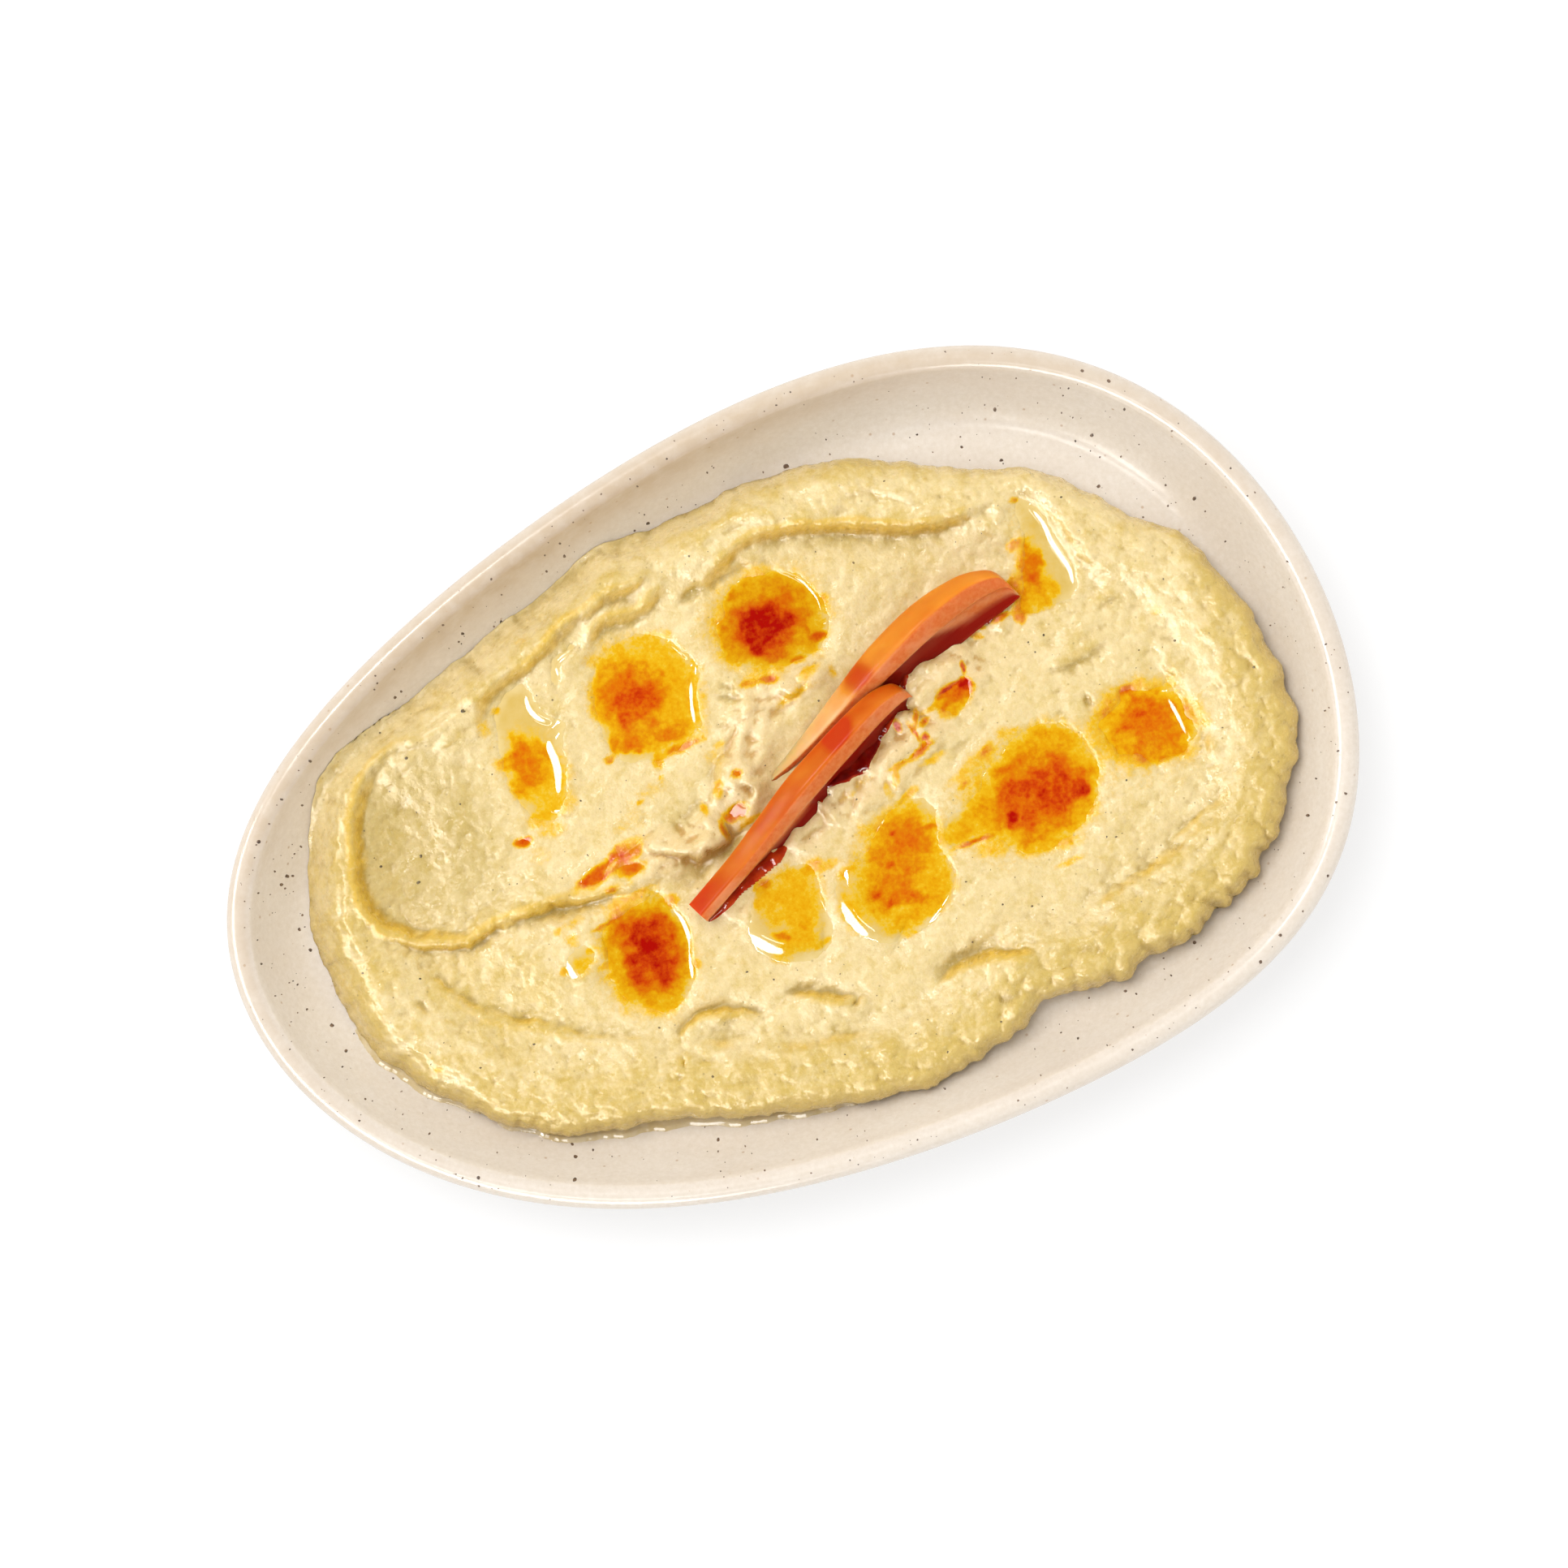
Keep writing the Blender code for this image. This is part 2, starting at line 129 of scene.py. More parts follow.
# Torn edges round the wedges, much sharper.
TEARS = (
    (((-30, -1.6), (-25, -3.6), (-21.5, -5.6), (-20, -6.6), (-18.2, -5.4), (-15.5, -6), (-13.6, -5),
      (-13.5, -2), (-15, 1)), 2.5, 3.8, 0.7, 2.5),
    (((-58, -6.4), (-53, -5), (-51, -5.4), (-48, -7.3), (-41, -7.7), (-37, -6.2)), 0.8, 2.6, 0.7, 1.0),
    (((-9.5, 7.5), (-6, 4), (-5, 1.5), (-8, -1)), 2.1, 2.4, 0.6, 1.7),
    (((-2.5, 25), (-1.6, 23.2), (-2.6, 21.8), (-4.5, 22.6), (-6, 23)), 0.9, 1.6, 0.6, 0.9),
    (((29, 8.4), (32, 7.4), (35, 7.8), (38, 9.2), (41, 10.4), (42.6, 13.4)), 1.9, 3.4, 0.6, 1.9),
    (((24, -2.4), (27.4, -1.6), (29.8, 0.6), (30.4, 3.4), (28.8, 6), (26, 7.6)), 1.5, 2.2, 0.6, 1.2),
    (((34, -2), (38, -1.2), (41, 0.6), (44, 0.2)), 0.4, 1.8, 0.7, 0.3),
    (((3, 16.4), (9, 18.6), (12, 20.5)), 0.5, 1.4, 0.7, 0.4),
    (((-8, 17.6), (-4, 17.2), (1, 18)), 0.5, 1.6, 0.6, 0.4),
)
# Hollows and heaps: middle, half-axes, turn in degrees, height.
DENTS = (
    ((-68, 13), (15.0, 19.5), 0, -1.4),
    ((-77, 13), (8.5, 17.0), -4, -2.2),
    ((-70, -17), (8.0, 13.0), 35, -1.2),
    ((-4, 43.4), (3.2, 1.4), 20, -1.1),
    ((0.2, -44.6), (1.3, 0.8), 30, -1.6),
    ((-24, -41.4), (8.0, 2.2), 6, -0.9),
    ((26, -42.6), (7.0, 1.8), 10, -0.7),
    ((-10, -39), (6.0, 1.6), 14, -0.6),
    ((-36.5, -45), (1.3, 0.7), 40, -0.8),
    ((29, -53.5), (1.6, 1.0), 0, -0.8),
    ((63.9, -3.2), (0.8, 1.8), 5, -1.3),
    ((-64, -26.2), (2.0, 0.9), -25, -0.7),
    ((-82, -17), (1.0, 2.4), 25, -0.7),
    ((-86, -16), (1.6, 2.2), 20, -0.5),
    ((-40, 41), (5.5, 1.6), 20, -0.7),
    ((-17, 46.4), (4.0, 1.2), 5, -0.7),
    ((3, 43.6), (4.5, 1.2), 12, -0.8),
    ((-3.8, 21.6), (2.6, 1.0), -30, -1.3),
    ((5, 22), (1.8, 0.9), -15, -0.9),
    ((-47, -7.6), (7.0, 2.0), 5, -0.9),
    ((9.5, -4.6), (2.4, 1.8), 0, -1.0),
    ((-22, -9), (4.5, 2.6), 25, -1.1),
    ((32, 5.0), (3.0, 1.2), 15, -0.8),
    ((40, 7.0), (3.2, 2.8), 20, -0.8),
    ((-19, -3.5), (8.0, 4.0), 10, 1.7),
    ((-8, 4), (7.0, 5.0), 35, 1.5),
    ((10, 17), (12.0, 5.0), 35, 1.0),
    ((36, 12), (8.0, 4.0), 20, 1.7),
    ((27, 2), (6.0, 5.0), 20, 1.2),
)
# Torn strips beside the wedges: path, reach to each side, strength.
TORN = (
    (((-29, -3.5), (-20, -4), (-12, -1), (-7, 5), (-3, 13), (4, 19), (12, 22)), 5.0, 1.0),
    (((-16, -18.5), (-8, -14), (0, -10.5), (8, -6)), 3.2, 0.6),
    (((10, -5), (20, -3), (28, 2), (35, 6), (42, 11.5)), 5.5, 1.0),
    (((32, 13), (40, 16), (48, 17.5), (56, 19)), 2.8, 0.6),
)
# Yellower patches, the last one painted shade under the upper border's ridge, and painted shade over the
# scoop's floor, in the same form as the dents.
YELLOW_AND_SHADE_PATCHES = (
    ((-64, -20), (17, 10), -35, 0.45),
    ((-92, 6), (8, 22), 0, 0.40),
    ((28, 42), (26, 5), -4, 0.30),
)
SCOOP_SHADE = ((-70, 13), (15.5, 18.5), 0, 0.95)
# Cells of the spread's grid, and how much they crowd towards its edge.
HUMMUS_LONG = 410
HUMMUS_ACROSS = 236
HUMMUS_CLUSTER = 1.12

# ---- pools of oil --------------------------------------------------------------------
# Each pool: its shoreline and how deep it stands below the spread round it, before the
# factor POOL_DROP.
POOL_DROP = 1.35
POOLS = {
    "narrow_end": dict(drop=0.5, shore=(
        (-45, 9.5), (-42, 12), (-40, 16), (-38.6, 20), (-38.2, 24), (-36.8, 27), (-39, 29.5), (-40.6, 33),
        (-41, 36), (-43.5, 37.4), (-47.5, 36), (-50, 33), (-50.8, 29), (-51.2, 24), (-51.6, 19),
        (-50.4, 14.5), (-48.8, 11))),
    "far_left": dict(drop=0.5, shore=(
        (-30, 18), (-30.6, 22), (-30.2, 27), (-29.6, 31), (-28.2, 35), (-25.5, 38), (-21, 39.3), (-17, 39.4),
        (-14, 38.4), (-11.0, 36.0), (-8.9, 32.6), (-7.6, 28.5), (-9.2, 25.2), (-10.1, 22), (-10.8, 17.5),
        (-15, 15.6), (-19, 14.2), (-23, 14.4), (-27, 15))),
    "far_middle": dict(drop=0.6, shore=(
        (-2.6, 30), (-2.4, 33), (-1.4, 35.4), (0.4, 37.5), (1.2, 40), (3.6, 42.3), (6.5, 43.2), (10, 42.6),
        (14.8, 42), (17.9, 39.1), (19.6, 35.6), (20.4, 32.2), (19.6, 28.4), (17.4, 25.4), (14.4, 23.8),
        (10.5, 23.3), (6.5, 23.9), (2.6, 25), (-0.6, 26.6), (-2.4, 28.4))),
    "broad_clear": dict(drop=0.4, shore=(
        (62.6, 40.2), (64.8, 39.4), (66.6, 37), (68.2, 33), (68.8, 29), (70, 24.6), (69.4, 19.6), (66, 17.4),
        (61.5, 16.6), (57.6, 17.4), (56.6, 20), (58.4, 23), (59.6, 26.4), (61, 30), (61.8, 33.6), (62, 37))),
    "broad_end": dict(drop=0.7, shore=(
        (64.2, -7), (67, -6.2), (69.6, -5), (70.4, -2.8), (72.6, -2.8), (74, -4), (78, -4.2), (80.8, -5),
        (81.6, -9), (82.9, -16), (80.6, -17.6), (79, -19.2), (75, -19.4), (71.4, -19), (70, -16.4),
        (67.5, -15.6), (65.4, -15), (65, -12), (64.2, -9.6))),
    "near_right": dict(drop=0.5, shore=(
        (26.6, -18.6), (26.9, -21.4), (28.6, -22.6), (31, -21.8), (33.2, -22.4), (36.2, -21.8), (38, -24.2),
        (40.6, -26.6), (44.5, -28.2), (50, -27.8), (55, -26), (58.4, -23), (61, -19), (61.6, -14),
        (60.6, -9.6), (58.8, -6), (56.6, -4.4), (52, -4.1), (47, -5), (43.6, -7.4), (39.6, -9.6),
        (37, -12.4), (33, -14.6), (29.4, -16))),
    "near_middle": dict(drop=0.6, shore=(
        (27.6, -24), (27.7, -27), (26, -30.4), (23.2, -32.6), (20.4, -34.6), (16, -35.6), (10.6, -36),
        (6, -33), (3.2, -28.6), (2.8, -24), (4.4, -20.4), (9, -17.8), (14, -15), (17, -12), (20, -10),
        (24, -9.4), (27, -10.6), (28, -13.2), (27, -16.4), (26.4, -20))),
    "near_small": dict(drop=0.5, shore=(
        (-11.8, -17), (-8.5, -15.8), (-4, -14.6), (0, -15.2), (1.6, -18), (0.6, -21.5), (1.2, -25),
        (1.4, -28.4), (-1, -32), (-5.6, -34), (-11, -32.4), (-15.2, -28.6), (-15.4, -24), (-13.2, -19.6))),
    "near_left": dict(drop=0.6, shore=(
        (-38, -12.4), (-34, -11.8), (-31.4, -10), (-29.6, -11.2), (-28.4, -14.4), (-26.6, -17.6),
        (-26.4, -22), (-27.8, -25.4), (-28, -28.6), (-30.4, -32), (-33, -33.8), (-36.6, -34.4),
        (-39.4, -32.6), (-42, -30.4), (-43.8, -27.4), (-44.8, -23.4), (-44.8, -19), (-44, -15.6),
        (-41.4, -13))),
    # small drops
    "drop_long": dict(drop=0.15, shore=(
        (-44.4, -4.3), (-41.6, -2), (-38.4, -1), (-34, -0.6), (-30.8, -0.4), (-32.4, -1.8), (-36.2, -3.2),
        (-39.6, -4.8), (-42, -5.4))),
    "drop_long_lobe": dict(drop=0.15, shore=(
        (-36.2, -4), (-33.4, -3.2), (-31, -4), (-30.6, -5.8), (-33, -6.6), (-36.4, -6.4))),
    "drop_narrow": dict(drop=0.15, shore=(
        (-54.6, 7.2), (-53, 8.2), (-51.2, 7.8), (-50.6, 6.8), (-52.4, 6.2))),
    "drop_curl": dict(drop=0.2, shore=(
        (-12.6, -0.4), (-11, 1), (-9, 0.8), (-7.6, -1), (-8.4, -2.4), (-11, -2))),
    "drop_curl_small": dict(drop=0.15, shore=(
        (-8.6, 7), (-7.4, 7.4), (-6.2, 6.6), (-6.8, 5.6), (-8.2, 5.8))),
    "drop_flap": dict(drop=0.5, shore=(
        (33.4, 7.2), (37, 8.4), (40, 9.8), (41.8, 10.4), (42.6, 8), (41.8, 5.4), (39.6, 3), (37.4, 2.8),
        (35.6, 4.4), (34.4, 5.6))),
    "drop_beside_flap": dict(drop=0.2, shore=(
        (28.2, -0.6), (30, 0.6), (31.2, 0.4), (30.6, -0.8), (28.8, -1.6), (25, -2.2), (21.5, -2.6),
        (22, -1.4), (25, -0.8))),
    "drop_hook": dict(drop=0.3, shore=(
        (-36.3, 34.8), (-36.4, 37.8), (-35, 40.2), (-30.6, 41.6), (-29.8, 40.6), (-32.6, 39.0), (-33.8, 37.2),
        (-34.2, 34.8))),
    "drop_splash": dict(drop=0.15, shore=(
        (-50, -16.4), (-47, -16), (-46, -18.4), (-48, -20.6), (-51, -22.4), (-53, -21.6), (-52.6, -19))),
}
# Pools deep enough to look darker, from 0 to 1.
DEEP_POOLS = {"far_middle": 0.5, "near_left": 0.45, "broad_end": 0.08, "near_right": 0.2, "broad_clear": 0.25}
# Rims where the oil steps up and mirrors the window as a white line: path with the bank on
# its left, and the width of the line.
RIMS = (
    (((-41.5, 37), (-42.6, 33), (-41.6, 30), (-39.0, 27.6)), 1.1),
    (((-36.5, 28), (-39.6, 26.2), (-41, 24), (-41, 20), (-42, 16), (-44.6, 11)), 1.8),
    (((-8.6, 30), (-10.4, 26), (-11.6, 22), (-12.4, 17)), 1.0),
    (((-12, 35.6), (-9.3, 31)), 0.5),
    (((13, 42.6), (17, 39), (18.6, 36), (19.2, 33), (18.6, 29)), 0.6),
    (((65.0, 38), (66.6, 34), (67.0, 30), (67.8, 27), (68.7, 23), (68, 18)), 0.9),
    (((78.6, -5.6), (79.4, -9), (80, -13), (80.3, -17)), 0.9),
    (((57, -4.8), (60, -8), (61.2, -13)), 0.5),
    (((28.2, -11.5), (27.4, -17)), 0.4),
    (((27.5, -22.6), (27.6, -27), (25.6, -30.2), (22.6, -32.8), (19, -34.8)), 0.7),
    (((0.6, -19), (0.2, -23), (1.0, -28)), 0.35),
    (((-29.8, -11), (-27.6, -16.5), (-27.2, -22), (-28.4, -26), (-29.5, -30), (-32.5, -33.4)), 0.9),
    (((-44.8, -16.4), (-42.6, -13), (-38, -12.6), (-34.6, -10.6), (-30, -11.4)), 0.4),
    (((-30.2, 40.6), (-34.4, 38.8), (-34.9, 35.4)), 0.6),
)
MIRRORED_SHARE = 0.54  # width of the white line over the width of its step
RIM_STEEPNESS = 0.373
# Low swells of the oil whose near side mirrors the window as a white patch, as crests.
SWELLS = (
    (((9.6, -17.5), (7.4, -21.5), (6.4, -26), (8.0, -30.5), (12.4, -35.4)), 2.1, 4.2, 3.4, 0.0),
    (((-15.4, -19.6), (-13.2, -24.6), (-9.4, -28.2), (-2.0, -31)), 2.0, 3.6, 3.3, 0.0),
    (((-50.4, -15.6), (-50.4, -20.4), (-48.6, -24.6)), 1.0, 2.4, 1.8, 0.0),
)
# Oil that has run out on the dish along the near left edge: first and last angle in
# degrees, and width.
EDGE_OIL = ((194, 218, 1.7), (221, 264, 2.2))
FILM_CELL = 0.30  # of the grid that pools and juice are made on
FINE_CELL = 0.20  # of the same for the edge oil
FILM_DEPTH = 0.5
SHORE_POINTS = 150
JUICE_POINTS = 120
EDGE_OIL_POINTS = 70
# Tomato juice beside the wedges; where it lies under them its dark red is partly painted shadow.
JUICE = {
    "under_lower": ((7.4, -1.8), (8.6, -0.6), (12, 1.2), (17, 4.2), (22, 7.2), (27, 9.8), (27.8, 8.4),
                    (25.6, 6.4), (22.8, 3.6), (20.4, 0.8), (17.6, -1.8), (14.8, -2.2), (11.6, -2.6),
                    (8.6, -2.8)),
    "bead": ((5.6, -2.6), (7, -2), (8.2, -2.8), (7.8, -4.2), (6.2, -4.8), (5.4, -3.9)),
    "under_upper": ((28.6, 10), (29.6, 14.4), (32, 17.2), (36, 18.8), (41, 20), (47, 20.8), (53, 21.4),
                    (55.4, 20.4), (52.8, 19), (50.4, 18.4), (46, 19), (42, 17.8), (38, 16.4), (34.6, 15.2),
                    (32, 14.4), (30.4, 12), (29.6, 9.6)),
    "near_end": ((-22.4, -19.6), (-18, -16.6), (-13, -14), (-8, -11.4), (-5, -10.4), (-3, -10.2),
                 (-2.8, -11.2), (-4, -12.4), (-8, -14), (-11, -15.2), (-14.4, -16.4), (-16.6, -18),
                 (-20, -19.4)),
}
# Juice thin enough to look bright red, as how dark it still is, from 0 to 1.
THIN_JUICE = {"near_end": 0.35}

# How strongly paprika colours a place, from 0, bare hummus, through 0.4, yellow, 0.55,
# amber, and 0.7, orange, to 0.85, red, and 1, dark red. Each stroke is laid over the ones
# before: middle, half-axes, turn in degrees, tone.
PAPRIKA = (
    # narrow end
    (-45, 19.5, 6.6, 10.2, 0, 0.37), (-44.6, 14.6, 4.6, 4.6, 0, 0.34), (-47.2, 22, 4.2, 5.4, -8, 0.66),
    (-43.2, 23.4, 1.6, 3.4, 0, 0.52), (-47.4, 10.6, 3.2, 1.6, 20, 0.38), (-49, 34, 1.2, 0.9, 0, 0.40),
    (-52.5, 7.2, 2.3, 1.2, -8, 0.78), (-46, 7.6, 3.4, 1.8, 0, 0.30), (-52.4, 31, 1.4, 2.2, 0, 0.30),
    # far left
    (-20, 27, 10.6, 12.6, 0, 0.46), (-26, 28, 4.6, 10, 5, 0.52), (-13, 25.6, 5.0, 9.0, 0, 0.42),
    (-14.4, 34.6, 3.6, 3.4, 40, 0.36), (-22.4, 29.0, 5.2, 6.6, 20, 0.64), (-21.6, 27.4, 5.0, 4.6, 0, 0.77),
    (-22, 27.8, 2.6, 2.4, 0, 0.82), (-25.6, 19, 4.2, 2.8, -10, 0.62), (-17.6, 18.2, 4.6, 2.0, 5, 0.60),
    (-16, 15.0, 5.0, 0.9, 5, 0.56), (-24.8, 17.0, 0.9, 0.6, 0, 0.62), (-30.8, 17.4, 1.2, 0.9, 0, 0.52),
    (-20.4, 16.4, 2.6, 0.8, 0, 0.40), (-21.4, 14.0, 1.4, 1.6, 0, 0.50),
    # far middle
    (8.6, 33.6, 12.6, 10.6, 0, 0.56), (1.6, 32, 3.4, 5.6, 10, 0.55), (8.6, 32, 7.4, 6.6, 0, 0.76),
    (8.2, 33.2, 5.0, 4.2, 0, 0.95), (6.8, 33.2, 3.4, 3.0, 0, 1.0), (4.3, 28.6, 1.5, 1.4, 0, 0.97),
    (8.2, 32.2, 1.3, 0.5, 0, 1.06), (14.2, 27.6, 2.2, 2.8, 0, 0.47), (17, 27, 1.9, 1.2, -10, 0.76),
    (11.4, 23.8, 1.6, 0.8, 0, 0.66), (3.2, 40.4, 1.6, 1.0, 20, 0.66), (10.2, 39.8, 3.8, 1.6, -10, 0.50),
    (19.6, 33.6, 2.2, 0.9, 25, 0.42),
    # broad end, clear pool
    (62.4, 29, 5.6, 11, 0, 0.14), (61.8, 27, 2.9, 4.6, -10, 0.62), (60, 31.4, 1.9, 1.6, 0, 0.50),
    (61.4, 21.6, 3.9, 3.8, 0, 0.50), (61.6, 24.4, 1.6, 2.6, 0, 0.66), (57, 19.4, 2.4, 2.6, 0, 0.52),
    (57.4, 23.4, 2.2, 2.6, 0, 0.58), (62.6, 39.8, 1.4, 0.8, 0, 0.42), (64.8, 20.6, 1.4, 1.8, 0, 0.42),
    # broad end
    (73.6, -11.2, 11.5, 9.4, -12, 0.57), (73.6, -10.4, 6.4, 5.0, -12, 0.68), (67.8, -12.8, 3.0, 1.7, 0, 0.46),
    (73, -8.6, 1.2, 0.9, 0, 0.78), (76, -18, 4.4, 1.6, 0, 0.56), (71.6, -3.2, 1.6, 1.0, 0, 0.70),
    # near right
    (47, -16.4, 15.6, 12.2, 12, 0.45), (54, -7.2, 6.4, 3.2, -8, 0.44), (33, -18.6, 6.2, 3.4, 8, 0.43),
    (48.6, -17, 11.0, 8.4, 12, 0.62), (49, -17.2, 8.4, 5.8, 8, 0.78), (44.4, -14.8, 3.0, 2.2, 0, 0.82),
    (52, -17.6, 4.6, 4.6, -10, 0.82), (45.6, -10, 4.4, 0.9, 8, 0.66), (44, -26, 2.6, 1.4, 0, 0.62),
    (56.8, -18.9, 1.7, 1.7, 0, 0.93), (41.8, -19.7, 1.2, 1.1, 0, 1.02), (41.0, -21.2, 0.8, 1.0, 0, 0.84),
    (33, -22.0, 4.6, 0.5, 0, 0.66), (47, -27.6, 7.0, 1.4, -5, 0.38), (37.6, -7.4, 6.4, 1.6, 22, 0.40),
    (36.6, -9.6, 3.8, 0.7, 24, 0.60), (50, -32, 3.6, 0.9, 5, 0.34), (46.6, -3.4, 3.2, 1.2, -10, 0.34),
    (41, -5.4, 1.6, 0.8, 20, 0.56), (36.4, -24.6, 4.4, 1.6, -10, 0.34),
    # near middle
    (17, -22, 9.8, 12.6, -32, 0.48), (23.6, -26, 4.2, 6.4, 0, 0.42), (19.4, -17.6, 5.6, 7.6, -40, 0.58),
    (14, -25.6, 5.4, 3.8, 15, 0.62), (21.4, -17, 3.2, 4.2, -10, 0.67), (16.4, -28, 4.4, 1.8, -10, 0.66),
    (18, -32, 6.2, 2.4, 10, 0.45),
    (15.6, -20.9, 0.9, 0.6, 20, 0.80), (11.1, -25.8, 1.1, 0.7, 10, 0.75), (13.1, -28.3, 0.9, 0.7, 0, 0.78),
    (18.1, -15.2, 0.7, 0.5, 0, 0.74), (25.4, -16.2, 1.2, 0.6, 0, 0.68), (15, -35.2, 1.8, 0.8, 0, 0.34),
    (7, -19.4, 2.4, 1.2, 20, 0.38), (23.6, -8.8, 3.0, 1.0, 20, 0.44), (5.4, -27, 2.6, 5.0, 0, 0.36),
    # near small
    (-8.4, -30, 5.6, 3.0, 0, 0.34),
    (-5, -21.4, 6.6, 8.2, -12, 0.40), (-4.8, -27, 2.9, 3.4, 0, 0.44), (-10, -18.4, 2.8, 3.4, 0, 0.43),
    (-9.4, -27.4, 2.4, 0.8, -28, 0.60), (0.4, -16.2, 2.6, 1.4, 10, 0.44), (-2.6, -31.4, 2.8, 0.9, 8, 0.36),
    (3.4, -17.0, 3.4, 1.0, 10, 0.38), (-9.2, -16.4, 1.2, 0.8, 0, 0.62),
    # near left
    (-36, -22, 10.0, 12.6, -4, 0.55), (-36.2, -21.2, 6.8, 8.6, -6, 0.66), (-35.6, -21.8, 5.6, 6.6, -4, 0.84),
    (-35.6, -20.4, 3.4, 4.2, 0, 0.95), (-35.4, -20.6, 1.4, 2.0, 0, 1.03), (-34, -25.4, 2.2, 3.2, 0, 0.88),
    (-42.8, -21.6, 1.8, 4.4, 0, 0.45), (-36, -32.6, 3.8, 1.9, 0, 0.39), (-38.4, -31.4, 1.3, 0.9, 0, 0.54),
    (-27.4, -27, 1.1, 1.2, 0, 0.46), (-28.2, -13.4, 1.8, 1.6, 0, 0.48), (-35.2, -10, 4.6, 1.0, 8, 0.45),
    (-42, -13.6, 3.2, 0.5, 10, 0.62), (-42.8, -28.8, 2.0, 1.3, -20, 0.42), (-45.4, -21.8, 1.4, 0.8, 0, 0.40),
    # splash left of it
    (-49, -19.6, 2.6, 2.2, 0, 0.34), (-51.6, -12, 1.2, 0.9, 0, 0.42), (-49.6, -14.4, 1.6, 2.0, 0, 0.32),
    (-48, -11.2, 2.6, 1.0, 0, 0.28), (-52.8, -20, 1.2, 1.0, 0, 0.44), (-46.6, -17.4, 1.2, 1.0, 0, 0.36),
    # drops
    (-37.4, -2.6, 8.4, 2.0, 17, 0.74), (-42, -4.2, 2.6, 1.0, 5, 0.80), (-37.2, -2.9, 2.0, 0.7, 30, 0.46),
    (-33.6, -5, 3.2, 1.9, 0, 0.72), (-38.6, -7.4, 1.8, 0.8, 0, 0.56), (-10.2, -0.8, 2.9, 1.8, -10, 0.72),
    (-7.4, 6.6, 1.4, 1.0, 0, 0.72), (-11.6, 4.6, 1.2, 2.4, -35, 0.44), (-13.6, -3.6, 0.7, 2.4, 0, 0.60),
    (-8, -3.4, 3.4, 0.8, 10, 0.40), (-16, 1.6, 0.8, 2.0, 10, 0.42),
    (38.6, 6.8, 4.4, 3.4, 30, 0.70), (41.4, 8.4, 1.4, 1.8, 0, 1.0), (38.4, 9.0, 2.8, 0.6, 18, 0.92),
    (37.2, 3.8, 3.0, 1.4, 0, 0.48), (34, 6.2, 3.2, 0.7, 8, 0.44), (42.2, 11.8, 0.5, 1.4, 0, 0.86),
    (29, -1.2, 3.4, 0.9, 20, 0.72), (24, -2.6, 3.4, 0.9, 5, 0.50), (30.6, 1.0, 0.9, 1.0, 0, 0.95),
    (31.4, 4, 1.6, 0.7, 25, 0.62), (30, 5.4, 0.6, 2.2, -20, 0.62), (26, 5.0, 0.8, 1.4, 0, 0.9),
    (28.8, 2.6, 0.5, 3.0, 15, 0.74), (30.6, -3.6, 3.6, 0.9, 5, 0.36), (22.4, -4.6, 0.7, 2.0, -15, 0.46),
    # stains round the wedges
    (8.4, 17.4, 5.0, 1.3, 14, 0.36), (12.6, 20.6, 3.0, 1.0, 20, 0.38), (17.4, 19.4, 1.0, 1.8, 0, 0.32),
    (0.6, 22.6, 2.4, 1.0, 0, 0.54), (4.8, 22.0, 1.9, 1.0, -20, 0.74), (4.6, 24.2, 4.6, 0.8, 0, 0.32),
    (46.6, 17.2, 2.2, 0.8, -30, 0.52), (52.4, 18.6, 2.2, 0.8, 10, 0.72), (56.4, 17.6, 1.6, 1.4, 0, 0.56),
    (48.4, 18.2, 1.2, 0.6, -20, 0.62), (-24.6, 8.4, 4.0, 2.0, 0, 0.20), (-10, 11, 3.0, 2.0, 0, 0.24),
    (-30, 5, 3.0, 3.6, 0, 0.18), (-27.6, 7.3, 0.9, 0.4, 0, 0.46), (-22, 10.6, 0.6, 0.8, 0, 0.40),
    (-33, 3.2, 1.6, 1.2, 0, 0.22), (-8.8, 13, 1.4, 0.8, 0, 0.36), (-50, 3.6, 2.8, 1.8, 0, 0.20),
    (14.4, -4.2, 5.0, 1.0, 20, 0.22), (20.4, -6.4, 1.0, 2.2, 0, 0.3),
    # traces near the border
    (38, -9, 3, 3, 0, 0.30), (70, -22.4, 6, 1.0, 0, 0.12), (-82.6, -30, 1.2, 0.9, 0, 0.30),
    (36.6, -57.4, 2.4, 1.6, 0, 0.20), (82.4, 10, 1.4, 1.4, 0, 0.24), (-39, 45.2, 2.0, 0.9, 0, 0.2),
)

# Colour of the paprika by its tone.
PAPRIKA_STOPS = (
    (0.00, (0.66, 0.47, 0.16)),
    (0.12, (0.64, 0.41, 0.09)),
    (0.30, (0.71, 0.435, 0.012)),
    (0.45, (0.67, 0.325, 0.002)),
    (0.58, (0.61, 0.205, 0.001)),
    (0.70, (0.60, 0.130, 0.001)),
    (0.84, (0.53, 0.050, 0.001)),
    (1.00, (0.38, 0.003, 0.0005)),
)
